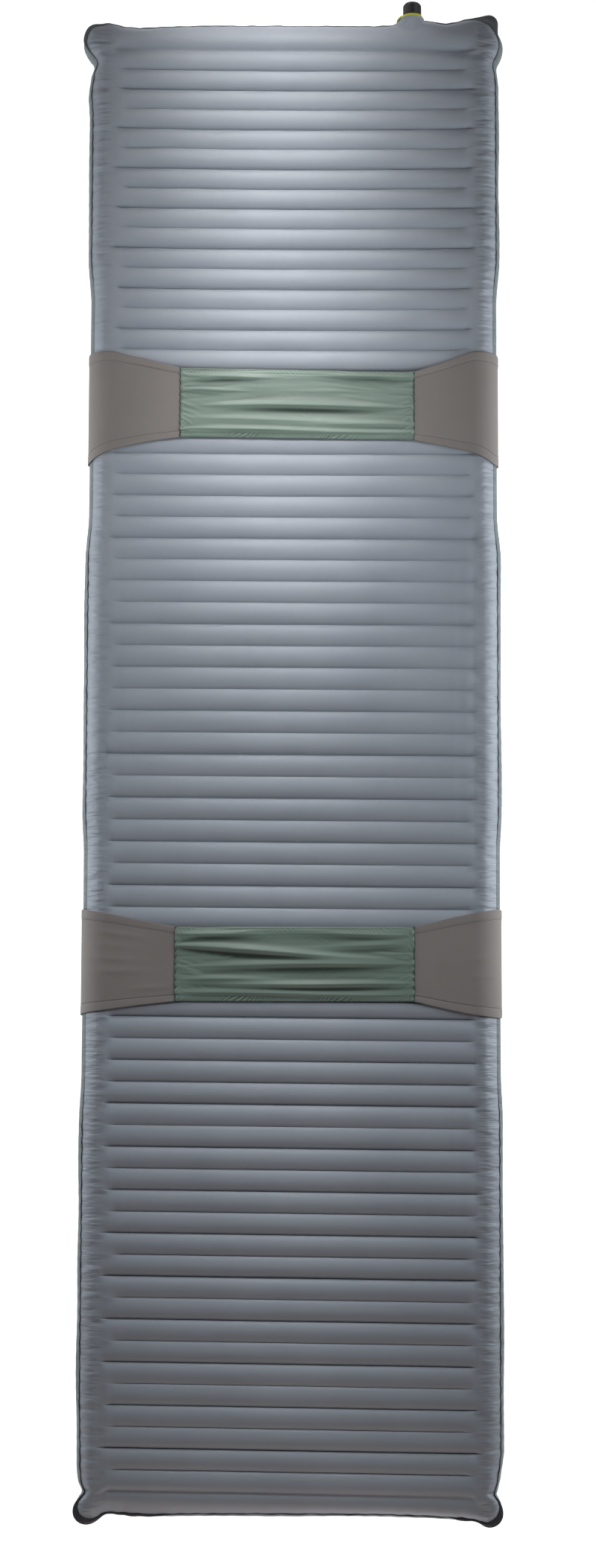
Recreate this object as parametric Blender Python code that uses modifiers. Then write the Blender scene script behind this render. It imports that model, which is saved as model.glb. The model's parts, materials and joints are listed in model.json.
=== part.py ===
"""Inflatable sleeping pad with a twist valve at its head end and two stretch holding straps.

Metres, +Z up. X runs across the pad, +Y runs to the head end, and the origin is the middle of the pad's
resting face. The pad is two welded sheets with cross tubes, a film core of triangular cells that holds the
two faces together, a welded edge with corner ears, and a valve in a fabric neck. Each strap is a loop:
a woven centre panel, two stretch wings that wrap the side rails, and a back panel under the pad.
"""

import math

import bmesh
import bpy
from mathutils import Vector

# Pad
PAD_LENGTH = 1.830
PAD_WIDTH = 0.510
PAD_HEIGHT = 0.064
SHEET = 0.0008
GAP = 0.0003
SIDE_RADIUS = PAD_HEIGHT / 2 - 0.0005
SIDE_STEPS = 5

# Cross tubes: a deep seam and a shallow seam in turn
TUBE_PITCH = 0.026
TUBE_PAIRS = 34
END_ZONE = (PAD_LENGTH - 2 * TUBE_PAIRS * TUBE_PITCH) / 2
DEEP_SEAM = {"depth": 0.0070, "half_width": 0.0090, "half_length": 0.212}
SHALLOW_SEAM = {"depth": 0.0042, "half_width": 0.0080, "half_length": 0.200}
# The seam nearest the valve, under which its flap swings
FIRST_SEAM = {"depth": 0.0034, "half_width": 0.0080, "half_length": 0.200}

# Welded edge, above the middle of the side
WELD_Z = 0.0506
WELD_THICKNESS = 0.0006
WELD_INWARD = 0.0040
WELD_OUTWARD = 0.0001
EAR_THICKNESS = 0.00066
# Corner ears, as (x, y, radius): a large lobe on each corner and a small one beside it
EARS = [
    (-0.2420, 0.8990, 0.0185),
    (-0.2240, 0.9110, 0.0085),
    (0.2440, 0.9230, 0.0100),
    (0.2465, 0.9020, 0.0120),
    (-0.2430, -0.9040, 0.0170),
    (-0.2220, -0.9120, 0.0070),
    (0.2440, -0.9050, 0.0165),
    (0.2180, -0.9130, 0.0080),
]

# Film core
CORE_SHEET = 0.0004
CORE_HALF_WIDTH = 0.205
CORE_SEAMS_FREE = 1
CORE_CLEAR = 0.0012

# Valve, along +Y from its axis point on the weld plane
VALVE_X = 0.147
VALVE_STEPS = 32
NECK = {"y": (0.8915, 0.9170), "half_width": (0.048, 0.0145), "half_height": (0.0128, 0.0130)}
BASE_Y = (0.8925, 0.9179)
BASE_HALF = (0.0132, 0.0118)
BASE_COLLAR = {"y": (0.9173, 0.9185), "radius": 0.0145}
BASE_BORE = 0.0097
BARREL_RADIUS = 0.0093
BARREL_BORE = 0.0073
BARREL_Y = (0.8965, 0.9335)
SEAL_GROOVE_Y = (0.9056, 0.9080)
STEM_DISC_Y = (0.9024, 0.9066)
RING_Y = (0.9188, 0.9220)
RING_BORE = 0.0096
RING_RADIUS = 0.0130
RING_WING_TIP = 0.0200
KNOB_Y = (0.9223, 0.9385)
KNOB_RADIUS = 0.0110
KNOB_RIBS = 24
KNOB_RIB_HEIGHT = 0.0005
SEAL_WIRE = 0.00055
FLAP_PIN = {"y": 0.8890, "drop": 0.0092, "radius": 0.0008, "half_length": 0.0066}

# Straps
STRAP_THICKNESS = 0.0012
STRAP_GAP = 0.0006
STRAP_CENTRES = {"head": 0.4240, "foot": -0.2610}
STRAP_TRAVEL = 0.060
PANEL_HALF_LENGTH = 0.1452
PANEL_WIDTH = 0.088
WING_WIDTH = 0.134
BACK_WIDTH = 0.104
BACK_HALF_LENGTH = 0.1900
HEM_CORD_RADIUS = 0.0009
STRAP_TOP_Z = PAD_HEIGHT + STRAP_GAP + STRAP_THICKNESS / 2
STRAP_BOTTOM_Z = GAP + STRAP_THICKNESS / 2
RECESS_Z = GAP + STRAP_THICKNESS + STRAP_GAP


# Scene, materials and small helpers


def clear_scene():
    for obj in list(bpy.data.objects):
        bpy.data.objects.remove(obj)
    for name in ("sleeping_pad", "cutters"):
        collection = bpy.data.collections.new(name)
        bpy.context.scene.collection.children.link(collection)


def make_material(name, colour, roughness, metallic=0.0):
    material = bpy.data.materials.new(name)
    material.use_nodes = True
    shader = material.node_tree.nodes["Principled BSDF"]
    shader.inputs["Base Color"].default_value = (*colour, 1.0)
    shader.inputs["Roughness"].default_value = roughness
    shader.inputs["Metallic"].default_value = metallic
    return material


def make_materials():
    return {
        "upper_fabric": make_material("upper_fabric", (0.30, 0.33, 0.37), 0.55),
        "lower_fabric": make_material("lower_fabric", (0.24, 0.29, 0.31), 0.60),
        "weld": make_material("weld", (0.09, 0.10, 0.11), 0.60),
        "film": make_material("film", (0.72, 0.73, 0.75), 0.30, 0.8),
        "black_plastic": make_material("black_plastic", (0.012, 0.011, 0.013), 0.45),
        "yellow_plastic": make_material("yellow_plastic", (0.72, 0.74, 0.03), 0.40),
        "grey_plastic": make_material("grey_plastic", (0.10, 0.11, 0.12), 0.50),
        "seal_rubber": make_material("seal_rubber", (0.03, 0.03, 0.03), 0.70),
        "steel": make_material("steel", (0.60, 0.60, 0.60), 0.30, 1.0),
        "stretch_fabric": make_material("stretch_fabric", (0.16, 0.14, 0.13), 0.85),
        "woven_fabric": make_material("woven_fabric", (0.19, 0.27, 0.21), 0.45),
    }


def place(name, mesh, material=None):
    """A part if it has a material, and otherwise a hidden cutter."""
    obj = bpy.data.objects.new(name, mesh)
    if material is None:
        bpy.data.collections["cutters"].objects.link(obj)
        obj.hide_render = True
        obj.display_type = "WIRE"
    else:
        bpy.data.collections["sleeping_pad"].objects.link(obj)
        obj.data.materials.append(material)
    return obj


def mesh_from(bm, name):
    bmesh.ops.recalc_face_normals(bm, faces=bm.faces)
    mesh = bpy.data.meshes.new(name)
    bm.to_mesh(mesh)
    bm.free()
    return mesh


def box(name, low, high, material=None):
    """A box between two corners."""
    bm = bmesh.new()
    bmesh.ops.create_cube(bm, size=1.0)
    size = Vector(high) - Vector(low)
    bmesh.ops.scale(bm, vec=size, verts=bm.verts)
    bmesh.ops.translate(bm, vec=(Vector(low) + Vector(high)) / 2, verts=bm.verts)
    return place(name, mesh_from(bm, name), material)


def boolean(obj, other, operation="DIFFERENCE"):
    modifier = obj.modifiers.new(operation.lower() + "_" + other.name, "BOOLEAN")
    modifier.operation = operation
    modifier.object = other


def add_prism(bm, outline, half_length):
    """A closed outline of (y, z) points, extruded along X to both sides of the middle."""
    verts = [bm.verts.new((-half_length, y, z)) for y, z in outline]
    side = bmesh.ops.extrude_face_region(bm, geom=[bm.faces.new(verts)])
    moved = [v for v in side["geom"] if isinstance(v, bmesh.types.BMVert)]
    bmesh.ops.translate(bm, vec=(2 * half_length, 0, 0), verts=moved)


def along_valve(obj, y=0.0):
    """Turns a piece made on the Z axis to point along +Y, on the valve's axis."""
    obj.rotation_euler = (-math.pi / 2, 0, 0)
    obj.location = (VALVE_X, y, WELD_Z)
    return obj


def cylinder(name, radius, y_low, y_high, material=None, steps=VALVE_STEPS, aside=(0, 0)):
    """A cylinder along the valve's axis, or beside it by (x, z)."""
    bm = bmesh.new()
    bmesh.ops.create_cone(
        bm, cap_ends=True, segments=steps, radius1=radius, radius2=radius, depth=y_high - y_low
    )
    bmesh.ops.translate(bm, vec=(aside[0], -aside[1], 0), verts=bm.verts)
    return along_valve(place(name, mesh_from(bm, name), material), (y_low + y_high) / 2)


def turned(name, profile, material, steps=VALVE_STEPS, closed=True):
    """A profile of (radius, y) points, down its outer side first, turned about the valve's axis."""
    mesh = bpy.data.meshes.new(name)
    edges = [(i, i + 1) for i in range(len(profile) - 1)]
    if closed:
        edges.append((len(profile) - 1, 0))
    mesh.from_pydata([(radius, 0, y) for radius, y in profile], edges, [])
    obj = along_valve(place(name, mesh, material))
    screw = obj.modifiers.new("turn", "SCREW")
    screw.steps = screw.render_steps = steps
    screw.use_merge_vertices = True
    screw.merge_threshold = 0.00001
    return obj


def seal_ring(name, radius, y, material):
    """A rubber ring of round wire about the valve's axis."""
    sides = 8
    turns = [-2 * math.pi * (i + 0.5) / sides for i in range(sides)]
    profile = [(radius + SEAL_WIRE * math.cos(a), y + SEAL_WIRE * math.sin(a)) for a in turns]
    return turned(name, profile, material)


# Pad envelope


def slab(name, inset, material=None):
    """The pad's plain rounded body, made smaller all round by inset."""
    half = Vector((PAD_WIDTH / 2 - inset, PAD_LENGTH / 2 - inset, PAD_HEIGHT / 2 - inset))
    middle = Vector((0, 0, PAD_HEIGHT / 2))
    obj = box(name, middle - half, middle + half, material)
    bevel = obj.modifiers.new("round", "BEVEL")
    bevel.width = SIDE_RADIUS - inset
    bevel.segments = SIDE_STEPS
    bevel.limit_method = "NONE"
    return obj


def seams(first_shift=0.0, count=2 * TUBE_PAIRS + 1):
    """(y, sort) of each cross seam, from the head end."""
    first = PAD_LENGTH / 2 - END_ZONE - first_shift
    sorts = (DEEP_SEAM, SHALLOW_SEAM)
    return [(first - i * TUBE_PITCH, sorts[i % 2]) for i in range(count)]


UPPER_SEAMS = seams()
UPPER_SEAMS[0] = (UPPER_SEAMS[0][0], FIRST_SEAM)
LOWER_SEAMS = seams(first_shift=TUBE_PITCH / 2, count=2 * TUBE_PAIRS)


def groove_comb(name, seam_list, face_z, outwards, grow=0.0):
    """Cutter with one groove for each seam: shallow slopes that meet the crests, and a steep root."""
    bm = bmesh.new()
    proud = 0.002
    for y, sort in seam_list:
        half = sort["half_width"] + grow * 0.5
        depth = sort["depth"] + grow * 0.75
        steps = [(half, proud), (half, 0.0), (0.35 * half, -0.45 * depth), (0.0, -depth)]
        mirrored = [(-a, b) for a, b in reversed(steps[:-1])]
        outline = [(y + a, face_z + outwards * b) for a, b in steps + mirrored]
        add_prism(bm, outline, sort["half_length"] + grow)
    return place(name, mesh_from(bm, name))


def strap_recess(name, grow=0.0):
    """Two boxes under the pad that take the crests off where the straps pass and slide."""
    bm = bmesh.new()
    half_width = WING_WIDTH / 2 + STRAP_TRAVEL + 0.004 + grow
    for centre in STRAP_CENTRES.values():
        made = bmesh.ops.create_cube(bm, size=1.0)["verts"]
        height = 0.02
        bmesh.ops.scale(bm, vec=(PAD_WIDTH + 0.1, 2 * half_width, height), verts=made)
        top = RECESS_Z + grow
        bmesh.ops.translate(bm, vec=(0, centre, top - height / 2), verts=made)
    return place(name, mesh_from(bm, name))


def neck_cone(name, grow, material=None, overrun=0.0):
    """The valve neck's oval taper, from wide and flat in the pad to nearly round at its mouth."""
    y0, y1 = NECK["y"]
    bm = bmesh.new()
    bmesh.ops.create_cone(bm, cap_ends=True, segments=VALVE_STEPS, radius1=1, radius2=1, depth=1)
    for v in bm.verts:
        share = 0.0 if v.co.z < 0 else 1.0
        share += (2 * share - 1) * overrun / (y1 - y0)
        ends = (NECK["half_width"], NECK["half_height"])
        width, height = (a + (b - a) * share + grow for a, b in ends)
        v.co = Vector((v.co.x * width, v.co.y * height, y0 + (y1 - y0) * share))
    return along_valve(place(name, mesh_from(bm, name), material))


def make_sheets(materials):
    """Upper and lower sheet: one hollow body with grooves, parted at the welded edge."""
    neck_hole = neck_cone("neck_hole", 2 * GAP, overrun=0.003)
    side = PAD_LENGTH
    parting = WELD_THICKNESS / 2 + GAP
    recess = strap_recess("strap_recess")
    inner_recess = strap_recess("inner_strap_recess", grow=SHEET)
    for name, seam_list, outwards in (("upper", UPPER_SEAMS, 1), ("lower", LOWER_SEAMS, -1)):
        face_z = PAD_HEIGHT if outwards > 0 else 0.0
        hollow = slab(name + "_hollow", SHEET)
        inner_z = face_z - outwards * SHEET
        boolean(hollow, groove_comb(name + "_inner_comb", seam_list, inner_z, outwards, SHEET))
        sheet = slab(name + "_sheet", 0.0, materials[name + "_fabric"])
        boolean(sheet, groove_comb(name + "_comb", seam_list, face_z, outwards))
        if outwards < 0:
            boolean(hollow, inner_recess)
            boolean(sheet, recess)
        boolean(sheet, hollow)
        ends = sorted((WELD_Z + outwards * parting, WELD_Z + outwards * 0.1))
        keep = box(name + "_side", (-side, -side, ends[0]), (side, side, ends[1]))
        boolean(sheet, keep, "INTERSECT")
        boolean(sheet, neck_hole)
    return neck_hole


def make_edge_weld(material, neck_hole):
    """Flat welded hem all round, with the corner ears, and a gap where the valve neck passes."""
    lift = WELD_Z - PAD_HEIGHT / 2
    inset = SIDE_RADIUS - math.sqrt(SIDE_RADIUS**2 - lift**2)
    half = Vector((PAD_WIDTH / 2 - inset, PAD_LENGTH / 2 - inset))
    rings = {}
    for name, grow, thick in (
        ("edge_weld", WELD_OUTWARD, WELD_THICKNESS),
        ("edge_weld_window", -WELD_INWARD, 0.01),
    ):
        corner = SIDE_RADIUS - inset + grow
        low = (-half.x - grow, -half.y - grow, WELD_Z - thick / 2)
        high = (half.x + grow, half.y + grow, WELD_Z + thick / 2)
        rings[name] = box(name, low, high, material if name == "edge_weld" else None)
        round_plan(rings[name], corner)
    for i, (x, y, radius) in enumerate(EARS):
        ear = ear_disc(f"ear_{i}", x, y, radius)
        boolean(rings["edge_weld"], ear, "UNION")
    boolean(rings["edge_weld"], rings["edge_weld_window"])
    boolean(rings["edge_weld"], neck_hole)


def round_plan(obj, radius):
    """Rounds the four upright edges of a box."""
    bm = bmesh.new()
    bm.from_mesh(obj.data)
    upright = [e for e in bm.edges if abs((e.verts[0].co - e.verts[1].co).normalized().z) > 0.9]
    bmesh.ops.bevel(
        bm, geom=upright, offset=radius, segments=SIDE_STEPS, affect="EDGES", profile=0.5
    )
    bm.to_mesh(obj.data)
    bm.free()


def ear_disc(name, x, y, radius):
    bm = bmesh.new()
    bmesh.ops.create_cone(
        bm, cap_ends=True, segments=20, radius1=radius, radius2=radius, depth=EAR_THICKNESS
    )
    # Alternate lobes are a little thicker, so that no two faces of the union lie in one plane.
    index = int(name.rsplit("_", 1)[1])
    bmesh.ops.scale(bm, vec=(1, 1, 1 + 0.08 * (index % 2)), verts=bm.verts)
    bmesh.ops.translate(bm, vec=(x, y, WELD_Z), verts=bm.verts)
    return place(name, mesh_from(bm, name))


# Film core


def ribbon(name, points, material):
    """A thin film that follows (y, z) points across the pad."""
    mesh = bpy.data.meshes.new(name)
    verts = [(side * CORE_HALF_WIDTH, y, z) for y, z in points for side in (-1, 1)]
    faces = [(2 * i, 2 * i + 1, 2 * i + 3, 2 * i + 2) for i in range(len(points) - 1)]
    mesh.from_pydata(verts, [], faces)
    obj = place(name, mesh, material)
    solidify = obj.modifiers.new("film", "SOLIDIFY")
    solidify.thickness = CORE_SHEET
    solidify.offset = 0.0
    return obj


def make_core(materials):
    """A middle film with a folded web above and below it, which make triangular cells."""
    film = materials["film"]
    inner = UPPER_SEAMS[CORE_SEAMS_FREE:-CORE_SEAMS_FREE]
    ends = inner[0][0] + TUBE_PITCH / 2, inner[-1][0] - TUBE_PITCH / 2
    middle = PAD_HEIGHT / 2
    ribbon("core_middle_film", [(ends[0], middle), (ends[1], middle)], film)
    root = DEEP_SEAM["depth"] + SHEET + CORE_CLEAR + CORE_SHEET
    for name, seam_list, face_z, outwards in (
        ("core_upper_web", UPPER_SEAMS, PAD_HEIGHT, 1),
        ("core_lower_web", LOWER_SEAMS, 0.0, -1),
    ):
        apex = face_z - outwards * root
        foot = middle + outwards * (CORE_SHEET + CORE_CLEAR)
        points = []
        for y, _ in seam_list[CORE_SEAMS_FREE:-CORE_SEAMS_FREE]:
            points += [(y + TUBE_PITCH / 2, foot), (y, apex)]
        points.append((points[-1][0] - TUBE_PITCH / 2, foot))
        ribbon(name, points, film)


# Valve


def make_neck(material):
    neck = neck_cone("valve_neck", 0.0, material)
    boolean(neck, neck_cone("neck_inside", -SHEET, overrun=0.002))


def make_base(material):
    """Oval moulding welded in the neck, with a collar that closes the neck's mouth."""
    base = cylinder("valve_base", 1.0, *BASE_Y, material)
    for v in base.data.vertices:
        v.co.x *= BASE_HALF[0]
        v.co.y *= BASE_HALF[1]
    collar = cylinder("base_collar", BASE_COLLAR["radius"], *BASE_COLLAR["y"])
    boolean(base, collar, "UNION")
    boolean(base, cylinder("base_bore", BASE_BORE, BASE_Y[0] - 0.01, BASE_Y[1] + 0.01))


def make_seat(material):
    """Ring at the inner end of the base, with two lugs that carry the flap's pin."""
    y0 = BASE_Y[0]
    seat = turned(
        "flap_seat",
        [(0.0094, y0 + 0.0022), (0.0094, y0), (0.0058, y0), (0.0058, y0 + 0.0022)],
        material,
    )
    pin_y = FLAP_PIN["y"]
    for side in (-1, 1):
        middle = VALVE_X + side * 0.0050
        lug = box(
            f"seat_lug_{side}",
            (middle - 0.0008, pin_y - 0.0016, WELD_Z - 0.0110),
            (middle + 0.0008, y0 - GAP, WELD_Z - 0.0066),
        )
        root = box(
            f"seat_lug_root_{side}",
            (middle - 0.0006, y0 - 0.0010, WELD_Z - 0.0074),
            (middle + 0.0006, y0 + 0.0012, WELD_Z - 0.0069),
        )
        boolean(seat, lug, "UNION")
        boolean(seat, root, "UNION")
    boolean(seat, pin_rod("pin_hole", FLAP_PIN["radius"] + GAP, 0.02))


def pin_rod(name, radius, half_length, material=None, steps=12):
    """A rod across the valve, on the flap's hinge axis."""
    bm = bmesh.new()
    bmesh.ops.create_cone(
        bm, cap_ends=True, segments=steps, radius1=radius, radius2=radius, depth=2 * half_length
    )
    obj = place(name, mesh_from(bm, name), material)
    obj.rotation_euler = (0, math.pi / 2, 0)
    obj.location = (VALVE_X, FLAP_PIN["y"], WELD_Z - FLAP_PIN["drop"])
    return obj


def make_flap(materials):
    """Disc that lies on the inner side of the seat, with a knuckle on the pin."""
    y_face = BASE_Y[0] - GAP
    flap = cylinder("check_flap", 0.0074, y_face - 0.0012, y_face, materials["seal_rubber"])
    knuckle = pin_rod("flap_knuckle", FLAP_PIN["radius"] + 0.0010, 0.0038)
    bridge_z = WELD_Z - FLAP_PIN["drop"]
    bridge = box(
        "flap_bridge",
        (VALVE_X - 0.0035, FLAP_PIN["y"] + 0.0004, bridge_z),
        (VALVE_X + 0.0035, y_face - 0.0003, WELD_Z - 0.0055),
    )
    boolean(flap, bridge, "UNION")
    boolean(flap, knuckle, "UNION")
    boolean(flap, pin_rod("knuckle_bore", FLAP_PIN["radius"] + GAP / 2, 0.02))
    pin_rod("flap_pin", FLAP_PIN["radius"], FLAP_PIN["half_length"], materials["steel"])


def make_screen(material):
    """Perforated disc that keeps grit off the flap."""
    y0 = BASE_Y[0] + 0.0026
    screen = cylinder("grit_screen", 0.0093, y0, y0 + 0.0008, material)
    bm = bmesh.new()
    spots = [(0.0, 0.0)]
    for radius, count in ((0.0033, 6), (0.0064, 12)):
        turns = [2 * math.pi * i / count for i in range(count)]
        spots += [(radius * math.cos(a), radius * math.sin(a)) for a in turns]
    for x, z in spots:
        hole = bmesh.ops.create_cone(
            bm, cap_ends=True, segments=8, radius1=0.0011, radius2=0.0011, depth=0.01
        )
        bmesh.ops.translate(bm, vec=(x, z, 0), verts=hole["verts"])
    holes = along_valve(place("screen_holes", mesh_from(bm, "screen_holes")), y0)
    boolean(screen, holes)


def make_barrel(materials):
    """Tube that turns in the base: a throat at its inner end, and a groove for its seal ring."""
    inner_y, outer_y = BARREL_Y
    groove = SEAL_GROOVE_Y
    turned(
        "valve_barrel",
        [
            (BARREL_RADIUS, outer_y),
            (BARREL_RADIUS, groove[1]),
            (BARREL_RADIUS - 0.00115, groove[1]),
            (BARREL_RADIUS - 0.00115, groove[0]),
            (BARREL_RADIUS, groove[0]),
            (BARREL_RADIUS, inner_y),
            (0.0060, inner_y),
            (0.0060, 0.0035 + inner_y),
            (BARREL_BORE, 0.0055 + inner_y),
            (BARREL_BORE, outer_y),
        ],
        materials["grey_plastic"],
    )
    seal_ring("barrel_seal", BARREL_RADIUS - 0.0003, sum(groove) / 2, materials["seal_rubber"])


def make_wing_ring(material):
    """Locking ring on the barrel, with a finger wing."""
    ring = cylinder("wing_ring", RING_RADIUS, *RING_Y, material)
    inset = 0.0003
    wing = box(
        "finger_wing",
        (VALVE_X - RING_WING_TIP, RING_Y[0] + inset, WELD_Z - 0.0040),
        (VALVE_X - RING_BORE - 0.001, RING_Y[1] - inset, WELD_Z + 0.0040),
    )
    bevel = wing.modifiers.new("round", "BEVEL")
    bevel.width = 0.0010
    bevel.segments = 2
    boolean(ring, wing, "UNION")
    boolean(ring, cylinder("ring_bore", RING_BORE, RING_Y[0] - 0.01, RING_Y[1] + 0.01))


def make_plunger(materials):
    """Stem that the knob lifts: a head above the knob, a shoulder under it, and a sealing disc."""
    head_y = KNOB_Y[1] + GAP
    wall_y = KNOB_Y[1] - 0.0020 - GAP
    disc = STEM_DISC_Y
    turned(
        "valve_plunger",
        [
            (0.0, head_y + 0.0012),
            (0.0040, head_y + 0.0012),
            (0.0040, head_y),
            (0.0026, head_y),
            (0.0026, wall_y),
            (0.0042, wall_y),
            (0.0042, wall_y - 0.0017),
            (0.0026, wall_y - 0.0017),
            (0.0026, disc[1]),
            (0.0068, disc[1]),
            (0.0068, disc[1] - 0.0011),
            (0.0058, disc[1] - 0.0011),
            (0.0058, disc[0] + 0.0011),
            (0.0068, disc[0] + 0.0011),
            (0.0068, disc[0]),
            (0.0, disc[0]),
        ],
        materials["grey_plastic"],
        closed=False,
    )
    seal_ring("plunger_seal", 0.0065, sum(disc) / 2, materials["seal_rubber"])


def make_knob(material):
    """Ribbed twist cap with a round top edge, a stem hole and four air vents."""
    y0, y1 = KNOB_Y
    steps = KNOB_RIBS * 3
    bm = bmesh.new()
    bmesh.ops.create_cone(
        bm, cap_ends=True, segments=steps, radius1=KNOB_RADIUS, radius2=KNOB_RADIUS, depth=y1 - y0
    )
    top = [f for f in bm.faces if f.normal.z > 0.9]
    bmesh.ops.inset_region(bm, faces=top, thickness=0.0014)
    for v in bm.verts:
        radius = math.hypot(v.co.x, v.co.y)
        turn = math.atan2(v.co.y, v.co.x) * steps / (2 * math.pi)
        outer = radius > KNOB_RADIUS - 0.0005
        if outer and round(turn) % 3 == 0:
            v.co.x *= 1 + KNOB_RIB_HEIGHT / radius
            v.co.y *= 1 + KNOB_RIB_HEIGHT / radius
        if outer and v.co.z > 0:
            v.co.z -= 0.0012
    knob = along_valve(place("valve_knob", mesh_from(bm, "valve_knob"), material), (y0 + y1) / 2)
    boolean(knob, cylinder("knob_cavity", RING_BORE, y0 - 0.01, y1 - 0.0020))
    boolean(knob, cylinder("stem_hole", 0.0029, y0, y1 + 0.01, steps=20))
    for i in range(4):
        turn = math.pi / 4 + i * math.pi / 2
        aside = (0.0068 * math.cos(turn), 0.0068 * math.sin(turn))
        boolean(knob, cylinder(f"vent_{i}", 0.0012, y1 - 0.006, y1 + 0.01, steps=12, aside=aside))


def make_valve(materials):
    make_neck(materials["upper_fabric"])
    make_base(materials["grey_plastic"])
    make_seat(materials["grey_plastic"])
    make_flap(materials)
    make_screen(materials["grey_plastic"])
    make_barrel(materials)
    make_wing_ring(materials["yellow_plastic"])
    make_plunger(materials)
    make_knob(materials["black_plastic"])


# Straps


def smooth(share):
    share = max(0.0, min(1.0, share))
    return share * share * (3 - 2 * share)


def wing_path():
    """(x, z, width) along a wing: over the top, round the side rail, and under the pad."""
    radius = PAD_HEIGHT / 2 + STRAP_GAP + STRAP_THICKNESS / 2
    centre = (PAD_WIDTH / 2 - PAD_HEIGHT / 2, PAD_HEIGHT / 2)
    start, steps = PANEL_HALF_LENGTH + GAP, 4
    path = []
    for i in range(steps):
        x = start + (centre[0] - start) * i / steps
        width = PANEL_WIDTH + (WING_WIDTH - PANEL_WIDTH) * smooth(i / steps)
        path.append((x, STRAP_TOP_Z, width))
    turns = 12
    for i in range(turns + 1):
        angle = math.pi * i / turns
        z = centre[1] + radius * math.cos(angle)
        x = centre[0] + radius * math.sin(angle)
        if z <= STRAP_BOTTOM_Z:
            break
        under = smooth((angle / math.pi - 0.5) * 2)
        path.append((x, z, WING_WIDTH + (BACK_WIDTH - WING_WIDTH) * under))
    last_angle = math.acos((centre[1] - STRAP_BOTTOM_Z) / radius)
    path.append((centre[0] + radius * math.sin(last_angle), STRAP_BOTTOM_Z, BACK_WIDTH))
    path.append((BACK_HALF_LENGTH + GAP, STRAP_BOTTOM_Z, BACK_WIDTH))
    return path


def strap_wing(name, centre_y, side, material):
    """Stretch wing: a band whose width changes along its path."""
    mesh = bpy.data.meshes.new(name)
    path = wing_path()
    verts = [(side * x, centre_y + end * w / 2, z) for x, z, w in path for end in (-1, 1)]
    faces = [(2 * i, 2 * i + 1, 2 * i + 3, 2 * i + 2) for i in range(len(path) - 1)]
    if side < 0:
        faces = [tuple(reversed(f)) for f in faces]
    mesh.from_pydata(verts, [], faces)
    obj = place(name, mesh, material)
    solidify = obj.modifiers.new("cloth", "SOLIDIFY")
    solidify.thickness = STRAP_THICKNESS
    solidify.offset = 0.0
    solidify.use_even_offset = True


def hem_cord(name, y, material):
    """Elastic cord along one long edge of the centre panel."""
    curve = bpy.data.curves.new(name, "CURVE")
    curve.dimensions = "3D"
    curve.bevel_depth = HEM_CORD_RADIUS
    curve.bevel_resolution = 2
    curve.use_fill_caps = True
    spline = curve.splines.new("POLY")
    spline.points.add(1)
    half = PANEL_HALF_LENGTH - 0.001
    for point, x in zip(spline.points, (-half, half)):
        point.co = (x, y, STRAP_TOP_Z, 1)
    place(name, curve, material)


def make_strap(end, centre_y, materials):
    """One strap: a woven panel with two hem cords, two stretch wings and a back panel."""
    woven, stretch = materials["woven_fabric"], materials["stretch_fabric"]
    cord_y = PANEL_WIDTH / 2 - HEM_CORD_RADIUS
    panel_y = cord_y - HEM_CORD_RADIUS - GAP
    half = STRAP_THICKNESS / 2
    box(
        f"{end}_strap_centre_panel",
        (-PANEL_HALF_LENGTH, centre_y - panel_y, STRAP_TOP_Z - half),
        (PANEL_HALF_LENGTH, centre_y + panel_y, STRAP_TOP_Z + half),
        woven,
    )
    box(
        f"{end}_strap_back_panel",
        (-BACK_HALF_LENGTH, centre_y - BACK_WIDTH / 2, STRAP_BOTTOM_Z - half),
        (BACK_HALF_LENGTH, centre_y + BACK_WIDTH / 2, STRAP_BOTTOM_Z + half),
        woven,
    )
    hem_cord(f"{end}_strap_hem_cord_head_side", centre_y + cord_y, woven)
    hem_cord(f"{end}_strap_hem_cord_foot_side", centre_y - cord_y, woven)
    strap_wing(f"{end}_strap_wing_left", centre_y, -1, stretch)
    strap_wing(f"{end}_strap_wing_right", centre_y, 1, stretch)


def main():
    clear_scene()
    materials = make_materials()
    neck_hole = make_sheets(materials)
    make_edge_weld(materials["weld"], neck_hole)
    make_core(materials)
    make_valve(materials)
    for end, centre_y in STRAP_CENTRES.items():
        make_strap(end, centre_y, materials)


main()
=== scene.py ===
"""Looks of the inflatable sleeping pad: sheets, welds, valve and straps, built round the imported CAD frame."""

import json
import math

import bpy
import numpy as np
from mathutils import Matrix, Vector

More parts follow.
